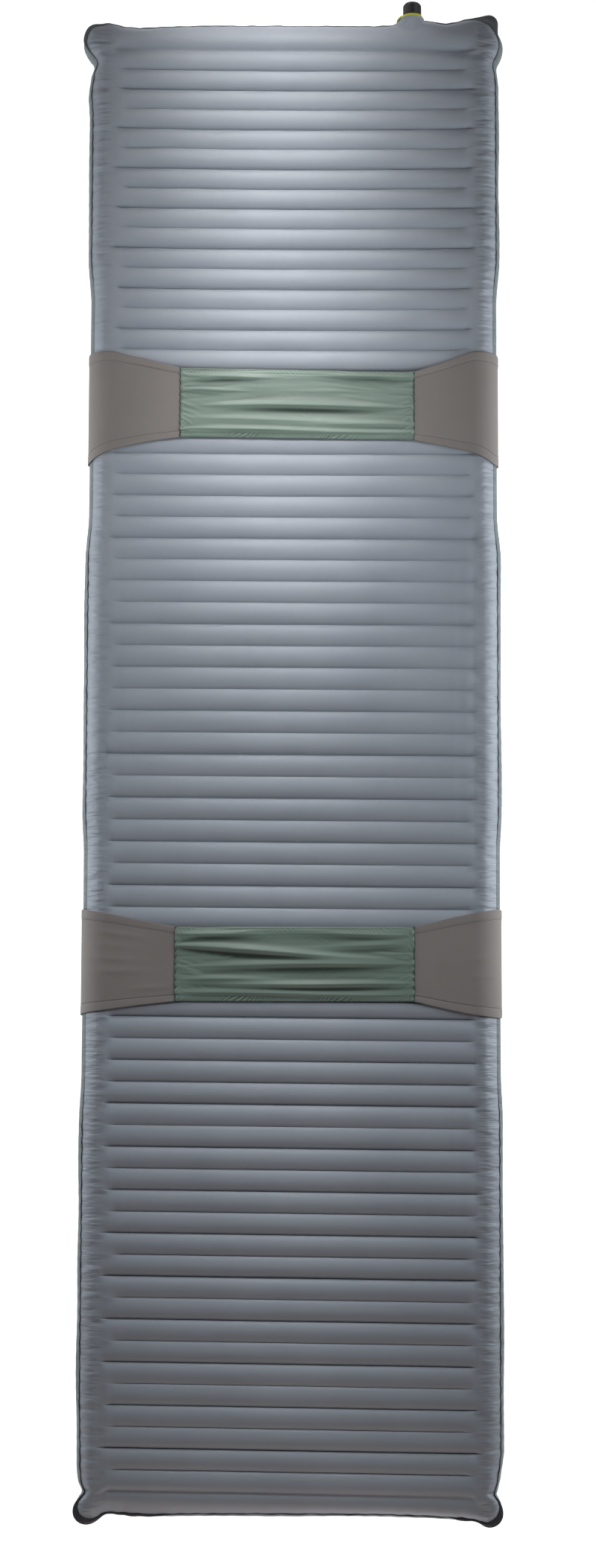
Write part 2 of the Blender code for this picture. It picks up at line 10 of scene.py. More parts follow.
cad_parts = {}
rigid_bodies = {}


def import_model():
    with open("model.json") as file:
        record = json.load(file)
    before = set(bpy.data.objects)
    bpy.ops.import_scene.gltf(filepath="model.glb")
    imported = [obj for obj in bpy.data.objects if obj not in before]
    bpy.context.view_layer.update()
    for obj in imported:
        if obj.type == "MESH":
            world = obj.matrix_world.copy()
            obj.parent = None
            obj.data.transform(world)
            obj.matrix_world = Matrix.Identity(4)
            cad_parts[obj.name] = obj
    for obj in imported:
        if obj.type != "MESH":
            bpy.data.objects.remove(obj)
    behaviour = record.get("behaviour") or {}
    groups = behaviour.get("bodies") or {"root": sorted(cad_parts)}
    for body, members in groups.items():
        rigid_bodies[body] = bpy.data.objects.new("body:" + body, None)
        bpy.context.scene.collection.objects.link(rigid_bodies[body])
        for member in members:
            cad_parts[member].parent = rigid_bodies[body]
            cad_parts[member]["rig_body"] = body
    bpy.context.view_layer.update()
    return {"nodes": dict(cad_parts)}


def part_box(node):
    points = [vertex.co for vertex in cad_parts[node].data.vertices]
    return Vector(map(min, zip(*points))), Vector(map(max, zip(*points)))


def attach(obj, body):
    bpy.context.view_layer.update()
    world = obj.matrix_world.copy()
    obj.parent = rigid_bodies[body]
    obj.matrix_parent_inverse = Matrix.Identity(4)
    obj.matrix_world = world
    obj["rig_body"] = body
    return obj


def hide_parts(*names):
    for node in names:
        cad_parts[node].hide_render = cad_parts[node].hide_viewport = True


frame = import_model()

# Places and sizes read from the frame
lower_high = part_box("lower_sheet")[1]
upper_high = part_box("upper_sheet")[1]
knob_low, knob_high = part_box("valve_knob")
ring_low, ring_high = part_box("wing_ring")
neck_low, neck_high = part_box("valve_neck")
weld_low, weld_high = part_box("edge_weld")

HALF_WIDTH = lower_high.x + 0.0015
HALF_LENGTH = lower_high.y
PAD_TOP = upper_high.z
WELD_Z = (weld_low.z + weld_high.z) / 2
VALVE = Vector(((knob_low.x + knob_high.x) / 2, knob_low.y, (knob_low.z + knob_high.z) / 2))

# Cross tubes
TUBE_PAIRS = 34
TUBE_PITCH = 0.026
SEAM_SWAY = 0.0082
SEAM_SWAY_LENGTH = 1.71
SEAM_SHIFT = -0.0074
DEEP = {"depth": 0.0050, "end": 0.2275, "fade": 0.012}
SHALLOW = {"depth": 0.0038, "end": 0.221, "fade": 0.018}
CREASE_DEPTH = 0.0009
CREASE_SHARE = 0.016
RAIL_RADIUS = PAD_TOP / 2
CORE_X = HALF_WIDTH - RAIL_RADIUS
CORE_Y = HALF_LENGTH - RAIL_RADIUS
WELD_ANGLE = math.asin((WELD_Z - PAD_TOP / 2) / RAIL_RADIUS)
SEED = 7

# Straps
STRAPS = {"head_strap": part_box("head_strap_centre_panel"), "foot_strap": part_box("foot_strap_centre_panel")}
STRAP_REACH = 0.131
STRAP_TAPER = 0.060
STRAP_PULL = {"head_strap": 0.0038, "foot_strap": 0.0020}
STRAP_LIFT = 0.0021

# Light: the power of each lamp in watts, and the brightness of the sky at its rim and overhead
POWER = {"near": 0.60, "middle": 0.125, "far": 0.118, "overhead": 5.6, "left": 6.6, "right": 9.0, "foot": 4.0}
SKY_RIM = 0.05
SKY_TOP = 0.012
FLOOR_GLOW = 0.95


# Small helpers


def smooth(t):
    t = np.clip(t, 0.0, 1.0)
    return t * t * (3 - 2 * t)


def bump(t):
    return np.exp(-t * t)


def mesh_object(name, points, faces, material, smooth_shaded=True):
    """A mesh object from an array of points and a list or array of faces."""
    mesh = bpy.data.meshes.new(name)
    mesh.from_pydata(np.asarray(points, float).tolist(), [], np.asarray(faces).tolist())
    mesh.polygons.foreach_set("use_smooth", [smooth_shaded] * len(mesh.polygons))
    mesh.update()
    obj = bpy.data.objects.new(name, mesh)
    bpy.context.scene.collection.objects.link(obj)
    if material:
        obj.data.materials.append(material)
    return obj


def grid_faces(rows, columns, close_rows=False, close_columns=False, first=0):
    """Quads of a grid whose points are stored row by row."""
    r = np.arange(rows if close_rows else rows - 1)
    c = np.arange(columns if close_columns else columns - 1)
    r, c = np.meshgrid(r, c, indexing="ij")
    r2, c2 = (r + 1) % rows, (c + 1) % columns
    quads = np.stack([r * columns + c, r * columns + c2, r2 * columns + c2, r2 * columns + c], -1)
    return quads.reshape(-1, 4) + first


# Materials


def new_material(name):
    material = bpy.data.materials.new(name)
    material.use_nodes = True
    tree = material.node_tree
    return material, tree, tree.nodes["Principled BSDF"]


def add(tree, kind, **values):
    """A node with its properties and unlinked inputs set."""
    node = tree.nodes.new(kind)
    for key, value in values.items():
        if key in node.inputs:
            node.inputs[key].default_value = value
        else:
            setattr(node, key, value)
    return node


def object_scale(tree, scale):
    """Object coordinates, scaled to the wanted repeats for each metre."""
    place = add(tree, "ShaderNodeTexCoord")
    mapping = add(tree, "ShaderNodeMapping")
    mapping.inputs["Scale"].default_value = scale
    tree.links.new(place.outputs["Object"], mapping.inputs["Vector"])
    return mapping.outputs["Vector"]


def weave_height(tree, threads):
    """Over and under threads in two directions, as a height from 0 to 1."""
    total = None
    for axis in ("X", "Y"):
        wave = add(
            tree,
            "ShaderNodeTexWave",
            wave_type="BANDS",
            bands_direction=axis,
            wave_profile="SIN",
            Scale=1.0,
        )
        tree.links.new(object_scale(tree, (threads / 2,) * 3), wave.inputs["Vector"])
        if total is None:
            total = wave.outputs["Fac"]
        else:
            both = add(tree, "ShaderNodeMath", operation="ADD")
            tree.links.new(total, both.inputs[0])
            tree.links.new(wave.outputs["Fac"], both.inputs[1])
            total = both.outputs[0]
    return total


def add_bump(tree, shader, height, strength, distance):
    node = add(tree, "ShaderNodeBump")
    node.inputs["Strength"].default_value = strength
    node.inputs["Distance"].default_value = distance
    tree.links.new(height, node.inputs["Height"])
    tree.links.new(node.outputs["Normal"], shader.inputs["Normal"])


def noise(tree, scale, detail=3.0, stretch=(1.0, 1.0, 1.0)):
    node = add(tree, "ShaderNodeTexNoise")
    node.inputs["Scale"].default_value = 1.0
    node.inputs["Detail"].default_value = detail
    vector = object_scale(tree, tuple(scale * s for s in stretch))
    tree.links.new(vector, node.inputs["Vector"])
    return node.outputs["Fac"]


def mixed_colour(tree, factor, first, second):
    node = add(tree, "ShaderNodeMix", data_type="RGBA")
    tree.links.new(factor, node.inputs["Factor"])
    node.inputs[6].default_value = (*first, 1.0)
    node.inputs[7].default_value = (*second, 1.0)
    return node.outputs[2]


RAIL_RELIEF = {"inner": 0.219, "outer": 0.236, "gathers": 118.0, "strength": 0.75, "distance": 0.0070}
HEAD_BLEND = (0.80, 0.90)


def add_rail_gathers(tree, shader):
    """Short gathers that run across the side rails, as a second relief over the cloth's own."""
    place = add(tree, "ShaderNodeTexCoord")
    split = add(tree, "ShaderNodeSeparateXYZ")
    tree.links.new(place.outputs["Object"], split.inputs[0])
    across = add(tree, "ShaderNodeMath", operation="ABSOLUTE")
    tree.links.new(split.outputs["X"], across.inputs[0])
    mask = add(tree, "ShaderNodeMapRange", interpolation_type="SMOOTHSTEP")
    mask.inputs["From Min"].default_value = RAIL_RELIEF["inner"]
    mask.inputs["From Max"].default_value = RAIL_RELIEF["outer"]
    tree.links.new(across.outputs[0], mask.inputs["Value"])
    gathers = noise(tree, RAIL_RELIEF["gathers"], 2.0, (0.22, 1.0, 0.22))
    height = add(tree, "ShaderNodeMath", operation="MULTIPLY")
    tree.links.new(mask.outputs[0], height.inputs[0])
    tree.links.new(gathers, height.inputs[1])
    relief = add(tree, "ShaderNodeBump")
    relief.inputs["Strength"].default_value = RAIL_RELIEF["strength"]
    relief.inputs["Distance"].default_value = RAIL_RELIEF["distance"]
    tree.links.new(height.outputs[0], relief.inputs["Height"])
    tree.links.new(shader.inputs["Normal"].links[0].from_socket, relief.inputs["Normal"])
    tree.links.new(relief.outputs["Normal"], shader.inputs["Normal"])


def pad_fabric(name, light, dark, roughness):
    """Coated satin nylon with a fine weave, slight tint changes and small handling marks."""
    material, tree, shader = new_material(name)
    tint = noise(tree, 14.0, 3.0, (1.0, 0.45, 1.0))
    tree.links.new(mixed_colour(tree, tint, dark, light), shader.inputs["Base Color"])
    shader.inputs["Roughness"].default_value = roughness
    shader.inputs["Specular IOR Level"].default_value = 0.5
    shader.inputs["Metallic"].default_value = 0.05
    shader.inputs["Sheen Weight"].default_value = 0.08
    shader.inputs["Sheen Roughness"].default_value = 0.4
    rumple = noise(tree, 45.0, 4.0, (0.5, 1.6, 1.0))
    weave = weave_height(tree, 1600.0)
    height = add(tree, "ShaderNodeMath", operation="MULTIPLY_ADD")
    height.inputs[1].default_value = 0.06
    tree.links.new(weave, height.inputs[0])
    tree.links.new(rumple, height.inputs[2])
    add_bump(tree, shader, height.outputs[0], 0.35, 0.0006)
    add_rail_gathers(tree, shader)
    return material


def plain_material(name, colour, roughness, metallic=0.0, grain=220.0, depth=0.00008):
    """Moulded or drawn stock with a faint surface grain."""
    material, tree, shader = new_material(name)
    mottle = noise(tree, grain / 8, 2.0)
    darker = tuple(0.82 * c for c in colour)
    tree.links.new(mixed_colour(tree, mottle, darker, colour), shader.inputs["Base Color"])
    shader.inputs["Roughness"].default_value = roughness
    shader.inputs["Metallic"].default_value = metallic
    add_bump(tree, shader, noise(tree, grain * 10, 2.0), 0.3, depth)
    return material


def weld_fabric(name, head, foot):
    """The pressed hem: smooth, paler at the head end and dark everywhere else."""
    material, tree, shader = new_material(name)
    place = add(tree, "ShaderNodeTexCoord")
    split = add(tree, "ShaderNodeSeparateXYZ")
    tree.links.new(place.outputs["Object"], split.inputs[0])
    share = add(tree, "ShaderNodeMapRange")
    share.inputs["From Min"].default_value = HEAD_BLEND[0]
    share.inputs["From Max"].default_value = HEAD_BLEND[1]
    tree.links.new(split.outputs["Y"], share.inputs["Value"])
    tree.links.new(mixed_colour(tree, share.outputs[0], foot, head), shader.inputs["Base Color"])
    shader.inputs["Roughness"].default_value = 0.5
    add_bump(tree, shader, noise(tree, 2200.0, 2.0), 0.3, 0.00008)
    return material


def taffeta_fabric(name, light, dark):
    """Thin shiny woven cloth, with painted shade: a darker colour in the hollows of its folds."""
    material, tree, shader = new_material(name)
    tint = noise(tree, 60.0, 3.0, (0.12, 1.0, 1.0))
    # Painted shade: points lying deep between the folds take a darker colour, 0.35 of the dark tone.
    painted_fold_shade = add(tree, "ShaderNodeAttribute", attribute_name="painted_fold_shade")
    deep = tuple(0.35 * c for c in dark)
    shade = add(tree, "ShaderNodeMix", data_type="RGBA")
    shade.inputs[7].default_value = (*deep, 1.0)
    tree.links.new(painted_fold_shade.outputs["Fac"], shade.inputs["Factor"])
    tree.links.new(mixed_colour(tree, tint, dark, light), shade.inputs[6])
    tree.links.new(shade.outputs[2], shader.inputs["Base Color"])
    shader.inputs["Roughness"].default_value = 0.46
    shader.inputs["Specular IOR Level"].default_value = 0.5
    shader.inputs["Sheen Weight"].default_value = 0.15
    add_bump(tree, shader, weave_height(tree, 1500.0), 0.12, 0.0001)
    return material


def stretch_fabric(name, light, dark):
    """Matte knit with fine ribs."""
    material, tree, shader = new_material(name)
    tint = noise(tree, 18.0, 4.0)
    tree.links.new(mixed_colour(tree, tint, dark, light), shader.inputs["Base Color"])
    shader.inputs["Roughness"].default_value = 0.85
    shader.inputs["Specular IOR Level"].default_value = 0.25
    shader.inputs["Sheen Weight"].default_value = 0.10
    shader.inputs["Sheen Roughness"].default_value = 0.6
    add_bump(tree, shader, weave_height(tree, 1100.0), 0.35, 0.00015)
    return material


# Pad sheets


def angle_steps(count):
    """Tangents of even angles from 0 to 45 degrees, without the 0."""
    return np.tan(np.linspace(0, math.pi / 4, count + 1)[1:])


def seam_places():
    """The y of each seam from the head end, deep and shallow in turn, with the pad's slight unevenness."""
    plain = TUBE_PAIRS * TUBE_PITCH - np.arange(2 * TUBE_PAIRS + 1) * TUBE_PITCH
    sway = SEAM_SWAY * np.sin(2 * math.pi * (plain - 0.0156) / SEAM_SWAY_LENGTH)
    return plain + sway - 0.0036 * plain + SEAM_SHIFT


def lattice(xs, ys, zs):
    """Surface points of a box lattice, as (index triple, point), with the quads of its six sides."""
    nx, ny, nz = len(xs), len(ys), len(zs)
    i, j, k = np.meshgrid(np.arange(nx), np.arange(ny), np.arange(nz), indexing="ij")
    skin = (i % (nx - 1) == 0) | (j % (ny - 1) == 0) | (k % (nz - 1) == 0)
    ids = np.full((nx, ny, nz), -1)
    ids[skin] = np.arange(skin.sum())
    index = np.stack([i[skin], j[skin], k[skin]], -1)
    quads = []
    for axis in range(3):
        for end in (0, -1):
            side = np.take(ids, end, axis)
            if (end == 0) == (axis != 1):
                side = side.T
            a, b = side[:-1, :-1], side[1:, :-1]
            c, d = side[1:, 1:], side[:-1, 1:]
            quads.append(np.stack([a, b, c, d], -1).reshape(-1, 4))
    return index, np.concatenate(quads)


def pillow(xs, ys, zs):
    """The lattice rounded to the pad's plain shape: (points, outward normals, quads, index triples)."""
    index, quads = lattice(xs, ys, zs)
    p = np.stack([xs[index[:, 0]], ys[index[:, 1]], zs[index[:, 2]]], -1)
    core = np.stack([np.clip(p[:, 0], -CORE_X, CORE_X), np.clip(p[:, 1], -CORE_Y, CORE_Y)], -1)
    d = p[:, :2] - core
    reach = np.abs(d).max(1) / RAIL_RADIUS
    tall = p[:, 2] / RAIL_RADIUS
    flat = np.abs(tall) > 0.9999
    rise = np.where(flat, np.sign(tall) * (math.pi / 2 - np.arctan(reach)), np.arctan(tall))
    turn = np.arctan2(d[:, 1], d[:, 0])
    out = np.stack([np.cos(turn), np.sin(turn)], -1) * (reach[:, None] > 1e-6)
    normal = np.concatenate([out * np.cos(rise)[:, None], np.sin(rise)[:, None]], 1)
    points = np.concatenate([core, np.full((len(p), 1), PAD_TOP / 2)], 1) + RAIL_RADIUS * normal
    return points, normal, quads, index


def tube_depth(x, y, seams, rng):
    """How far the sheet lies below the crests: round tubes that meet in cusps at the seams."""
    count = len(seams)
    deep = np.arange(count) % 2 == 0
    depth = np.where(deep, DEEP["depth"], SHALLOW["depth"]) * (1 + 0.10 * rng.standard_normal(count))
    ends = {}
    midway = smooth((0.62 - np.abs(seams + 0.05)) / 0.15)
    longer = np.where(deep, 0.0020, 0.0060) * midway
    for side in (-1, 1):
        end = np.where(deep, DEEP["end"], SHALLOW["end"]) + longer + 0.0022 * rng.standard_normal(count)
        ends[side] = end
    fade = np.where(deep, DEEP["fade"], SHALLOW["fade"])
    order = np.argsort(seams)
    cell = np.clip(np.searchsorted(seams[order], y) - 1, 0, count - 2)
    low, high = order[cell], order[cell + 1]
    u = np.clip((y - seams[low]) / (seams[high] - seams[low]), 0, 1)
    side = np.where(x < 0, -1, 1)
    seam_depth = []
    for which in (low, high):
        end = np.where(side < 0, ends[-1][which], ends[1][which])
        seam_depth.append(depth[which] * smooth((end - np.abs(x)) / fade[which]))
    line = seam_depth[0] * (1 - u) + seam_depth[1] * u
    half, rise = TUBE_PITCH / 2, np.maximum(line, 1e-5)
    radius = (half**2 + rise**2) / (2 * rise)
    arc = np.sqrt(radius**2 - (half * (2 * u - 1)) ** 2) - (radius - rise)
    crease = np.clip(1 - np.minimum(u, 1 - u) / (2 * CREASE_SHARE), 0, 1)
    arc -= CREASE_DEPTH * crease * line / DEEP["depth"]
    inside = (y > seams.min()) & (y < seams.max())
    edge = np.where(y >= seams.max(), seams.argmax(), seams.argmin())
    end = np.where(side < 0, ends[-1][edge], ends[1][edge])
    away = np.abs(y - seams[edge])
    outer = depth[edge] * smooth((end - np.abs(x)) / fade[edge]) * (1 - np.clip(away / 0.016, 0, 1)) ** 2
    return np.where(inside, line - arc, outer)


def rows_for(seams, steps):
    """Row places along the pad: closer together beside each seam."""
    share = (1 - np.cos(np.linspace(0, math.pi, steps + 1))) / 2
    share = np.concatenate([[0, CREASE_SHARE], share[1:-1], [1 - CREASE_SHARE, 1]])
    rows = [-CORE_Y - RAIL_RADIUS * t for t in angle_steps(7)[::-1]]
    places = np.sort(seams)
    if places[0] > -CORE_Y + 0.002:
        rows += list(np.linspace(-CORE_Y, places[0], 5)[:-1])
    for a, b in zip(places[:-1], places[1:]):
        rows += list(a + (b - a) * share[:-1])
    rows.append(places[-1])
    if places[-1] < CORE_Y - 0.002:
        rows += list(np.linspace(places[-1], CORE_Y, 5)[1:])
    rows += [CORE_Y + RAIL_RADIUS * t for t in angle_steps(7)]
    return np.array(sorted(set(np.round(rows, 6))))


def columns():
    half = [RAIL_RADIUS * t + CORE_X for t in angle_steps(8)]
    half += list(np.linspace(0.190, CORE_X, 15))
    half += list(np.linspace(0.0, 0.190, 20)[1:-1])
    half = np.array(sorted(half))
    return np.concatenate([-half[::-1], [0.0], half])


def side_heights(upper):
    """Lattice heights down the side, from the sheet's face to the weld."""
    weld = math.tan(WELD_ANGLE)
    if upper:
        return RAIL_RADIUS * np.array([weld, (weld + 1) / 2, 1.0])
    angles = np.linspace(-math.pi / 4, WELD_ANGLE, 17)
    return RAIL_RADIUS * np.tan(angles)


def seam_skew(points):
    """How far the seams lean and bow from straight lines across the pad."""
    x, y = points[:, 0], points[:, 1]
    lean = np.where(y < 0, 0.0112 * y - 0.0048, -0.0048 * np.clip(1 - y / 0.6, 0, 1))
    bow = 0.0022 * np.clip((y - 0.1) / 0.5, 0, 1) * (x / 0.2) ** 2
    return lean * x + bow


def strap_zone(y):
    """How much a strap lies or can slide there, from 0 to 1, and how far it pulls the pad's sides in."""
    zone, pull = np.zeros_like(y), np.zeros_like(y)
    for name, (low, high) in STRAPS.items():
        away = np.abs(y - (low.y + high.y) / 2)
        here = 1 - smooth((away - STRAP_REACH) / STRAP_TAPER)
        zone = np.maximum(zone, here)
        pull = np.maximum(pull, STRAP_PULL[name] * here)
    return zone, pull


CORNERS = {
    # (side, end): how far the outline stands out (+) or in (-) at distances along it, in mm. The distance is
    # 0 where the side turns into the corner, and grows round the corner and along the end.
    (-1, 1): [(-90, 0), (-60, 2), (-36, -1), (-20, -6), (-8, 4), (4.5, 9.8), (12, 10.8), (18.9, 10.2),
              (22.1, 7.0), (27.5, 3.8), (33.1, 4.2), (40, 1.5), (48.5, -1.5), (73.7, -3.6), (115, -1.2),
              (160, 0)],
    (1, 1): [(-90, 0), (-45, 0), (-20.2, -3.5), (-8, 3.0), (6.5, 5.5), (13, 5.5), (19.5, 5.0), (24.5, 5.0),
             (31.2, 2.5), (40, 1), (55, 0), (160, 0)],
    (-1, -1): [(-110, 0), (-40, -1.5), (-18, -2), (-5, -4), (4, -8), (8.5, -7), (12, 0), (15.9, 8),
               (23.8, 13.5), (30, 12), (35.3, 9), (41, 3.5), (45.5, 0.5), (60, 1), (98.6, 3.2), (150, 2.4),
               (230, 2.2)],
    (1, -1): [(-110, 0), (-40, 0), (-12, -4), (9.4, -8.5), (14, 0), (18.3, 6.5), (26, 12), (33.5, 13.5),
              (39.1, 10), (45, 8.5), (58.5, 6.2), (75, 5.6), (98.6, 4.2), (150, 2.6), (230, 2.2)],
}
CORNER_RADIUS = 0.0260


def corner_shift(place, form):
    """The outline's shift at distances along it, on a smooth curve through the corner's points."""
    table = np.array(form) / 1000
    even = np.arange(-0.13, 0.26, 0.0005)
    kernel = np.hanning(13) / np.hanning(13).sum()
    values = np.convolve(np.pad(np.interp(even, table[:, 0], table[:, 1]), 6, "edge"), kernel, "valid")
    return np.interp(place, even, values)


def edge_offset(points):
    """Outward shift of the pad's outline: pinched corners with lobes."""
    x, y = points[:, 0], points[:, 1]
    shift = np.zeros_like(points)
    for (side, end), form in CORNERS.items():
        a, b = HALF_WIDTH - side * x, HALF_LENGTH - end * y
        here = (side * x > 0) & (end * y > 0)
        across, along = RAIL_RADIUS - a, RAIL_RADIUS - b
        turn = np.arctan2(np.maximum(along, 0), np.maximum(across, 1e-6))
        place = CORNER_RADIUS * turn - np.maximum(-along, 0)
        place = np.where(across < 0, CORNER_RADIUS * math.pi / 2 - across, place)
        inward = np.where(across < 0, b, np.where(along < 0, a, RAIL_RADIUS - np.hypot(across, along)))
        size = corner_shift(place, form) * (1 - smooth((inward - 0.006) / 0.026)) * here
        turn = np.where(across < 0, math.pi / 2, turn)
        shift[:, 0] += side * size * np.cos(turn)
        shift[:, 1] += end * size * np.sin(turn)
    return shift


def valve_bell(points):
    """The sheets rise to the valve's neck, and there is a second soft hump beside it."""
    x, y, z = points.T
    at_end = smooth((y - (HALF_LENGTH - 0.034)) / 0.030)
    level = bump((z - WELD_Z) / np.where(z > WELD_Z, 0.022, 0.010))
    aside = x - VALVE.x
    bell = 0.0100 * bump((aside - 0.008) / 0.024) - 0.0065 * bump(aside / 0.011)
    hump = 0.0090 * bump((aside - 0.072) / 0.024)
    shift = np.zeros_like(points)
    shift[:, 1] = (bell + hump) * at_end * level
    shift[:, 1] -= 0.0034 * bump(aside / 0.022) * bump((z - WELD_Z + 0.016) / 0.013) * at_end
    shift[:, 2] = 0.0040 * bump(aside / 0.030) * at_end * smooth((z - WELD_Z) / 0.006)
    return shift


def end_puckers(points, seams, rng):
    """Small dimples in the rails just past each seam's end, with fine creases that run out of them."""
    x, y = points[:, 0], points[:, 1]
    depth = np.zeros(len(points))
    order = np.argsort(seams)
    sorted_seams = seams[order]
    nearest = np.clip(np.searchsorted(sorted_seams, y + 0.004), 0, len(seams) - 1)
    for step in (-1, 0):
        which = np.clip(nearest + step, 0, len(seams) - 1)
        number = order[which]
        for side in (-1, 1):
            size = 0.0017 + 0.0006 * rng.standard_normal(len(seams))
            reach = 0.2265 + 0.0025 * rng.standard_normal(len(seams))
            drop = 0.0055 + 0.0015 * rng.standard_normal(len(seams))
            strong = np.where(number % 2 == 0, 1.0, 0.45) * np.clip(size[number], 0.0004, 0.003)
            across = (side * x - reach[number]) / 0.0075
            along = (y - (sorted_seams[which] - drop[number])) / 0.0022
            depth += strong * bump(across) * bump(along)
            lip = (side * x - reach[number] + 0.006) / 0.006
            depth -= 0.5 * strong * bump(lip) * bump((y - sorted_seams[which] + 0.0012) / 0.0012)
    return depth


def soft_noise(points, rng, waves, size):
    """A smooth random height made of a few long waves."""
    total = np.zeros(len(points))
    for _ in range(waves):
        way = rng.standard_normal(3) * np.array([1.0, 1.6, 1.0])
        way *= 2 * math.pi / size / np.linalg.norm(way)
        total += np.sin(points @ way + rng.uniform(0, 2 * math.pi))
    return total / math.sqrt(waves)


DIMPLES = [
    # (x, y, half length across, half length along, depth): soft hollows by the head corners and the valve
    (-0.2150, 0.8715, 0.0140, 0.0050, 0.0024),
    (0.2020, 0.8690, 0.0160, 0.0050, 0.0024),
    (-0.2320, 0.8950, 0.0070, 0.0200, 0.0030),
    (0.2330, 0.8930, 0.0080, 0.0200, 0.0030),
    (0.1720, 0.8960, 0.0120, 0.0040, 0.0014),
    (0.1120, 0.8960, 0.0030, 0.0090, 0.0016),
    (0.1190, 0.8890, 0.0025, 0.0070, 0.0014),
]
RAIL_VALLEY = {"x": 0.2290, "half": 0.0075, "depth": 0.0016}
PUCKER = {"length": 0.0173, "height": 0.0150, "depth": 0.00032}


def rail_hollows(points):
    """The valley between the tubes' ends and the side rails, and the dimples by the head corners."""
    x, y = points[:, 0], points[:, 1]
    depth = RAIL_VALLEY["depth"] * bump((np.abs(x) - RAIL_VALLEY["x"]) / RAIL_VALLEY["half"])
    for spot_x, spot_y, across, along, size in DIMPLES:
        depth += size * bump((x - spot_x) / across) * bump((y - spot_y) / along)
    return depth


def weld_puckers(points):
    """Small gathers on both sides of the weld, where the two sheets are drawn together."""
    x, y, z = points.T
    run = np.where(np.abs(x) > CORE_X, y, x)
    wave = np.sin(2 * math.pi * run / PUCKER["length"] + 3 * np.sin(9 * run) + 2 * np.sin(31 * run))
    return PUCKER["depth"] * wave * bump((z - WELD_Z) / PUCKER["height"])


STEM_ROOM = {"radius": 0.0118, "blend": 0.0022, "y": 0.8960}


def clear_stem(points):
    """Draws the sheet back from the space inside the valve's moulding, where the stem's disc moves."""
    away = np.hypot(points[:, 0] - VALVE.x, points[:, 2] - VALVE.z)
    inside = smooth((STEM_ROOM["radius"] - away) / STEM_ROOM["blend"])
    return -inside * np.maximum(points[:, 1] - STEM_ROOM["y"], 0)


def pad_points(upper):
    """The finished sheet's points and quads."""
    rng = np.random.default_rng(SEED if upper else SEED + 1)
    seams = seam_places()
    if not upper:
        seams = (seams[:-1] + seams[1:]) / 2
    zs = side_heights(upper)
    box = pillow(columns(), rows_for(seams, 8), zs)
    points, normal, quads, index = box
    face_sign = 1 if upper else -1
    on_face = smooth((face_sign * normal[:, 2] - 0.55) / 0.35)
    depth = tube_depth(points[:, 0], points[:, 1], seams, rng) * on_face
    if upper:
        depth += end_puckers(points, seams, rng) * on_face
    zone, pull = strap_zone(points[:, 1])
    if upper:
        depth += rail_hollows(points) * on_face * (1 - 0.6 * zone)
    depth += weld_puckers(points) * (1 - zone)
    off_weld = smooth(np.abs(normal[:, 2] - math.sin(WELD_ANGLE)) / 0.25)
    depth += 0.00035 * soft_noise(points, rng, 9, 0.11) * (1 - 0.7 * zone) * off_weld
    depth += 0.0004 * zone
    points = points - normal * depth[:, None]
    points[:, 1] += seam_skew(points) * on_face
    sideways = smooth((np.abs(points[:, 0]) - 0.20) / 0.03)
    points[:, 0] -= np.sign(points[:, 0]) * pull * sideways
    points[:, 2] += STRAP_LIFT * zone * np.clip(1 - points[:, 2] / (PAD_TOP / 2), 0, 1)
    points += edge_offset(points)
    points += valve_bell(points)
    points[:, 1] += clear_stem(points)
    # Keep the faces that belong to the sheet: drop the lid of the lattice at the weld.
    open_side = 0 if upper else len(zs) - 1
    keep = ~(index[quads][:, :, 2] == open_side).all(1)
    return points, quads[keep], index


def without_loose(points, quads):
    used = np.unique(quads)
    place = np.full(len(points), -1)
    place[used] = np.arange(len(used))
    return points[used], place[quads]


def make_sheet(name, upper, material):
    """One skin of the pad; returns its points on the weld line, in order round the pad."""
    points, quads, index = pad_points(upper)
    line = weld_line(points, index) if upper else None
    points, quads = without_loose(points, quads)
    obj = mesh_object(name, points, quads, material)
    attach(obj, "pad")
    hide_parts("upper_sheet" if upper else "lower_sheet")
    return line


RIM_SPOTS = [
    # (x, y, reach, extra width): the weld is wider at the corner lobes and at two places of the foot edge
    (-0.2466, -0.9157, 0.017, 0.0073),
    (0.2448, -0.9181, 0.016, 0.0075),
    (-0.2580, 0.8986, 0.018, 0.0040),
    (0.2415, 0.9130, 0.0120, 0.0125),
    (-0.1850, -0.9125, 0.032, 0.0026),
    (0.2050, -0.9165, 0.009, 0.0028),
]
RIM_WIDTH = 0.0012
RIM_INSIDE = 0.0008
RIM_POINTS = 2400


def weld_line(points, index):
    """The sheet's points on the weld line, in order round the pad."""
    at = {(i, j): n for n, (i, j, k) in enumerate(index.tolist()) if k == 0}
    last_i, last_j = index[:, 0].max(), index[:, 1].max()
    walk = [(i, 0) for i in range(last_i)]
    walk += [(last_i, j) for j in range(last_j)]
    walk += [(i, last_j) for i in range(last_i, 0, -1)]
    walk += [(0, j) for j in range(last_j, 0, -1)]
    return points[[at[place] for place in walk]]


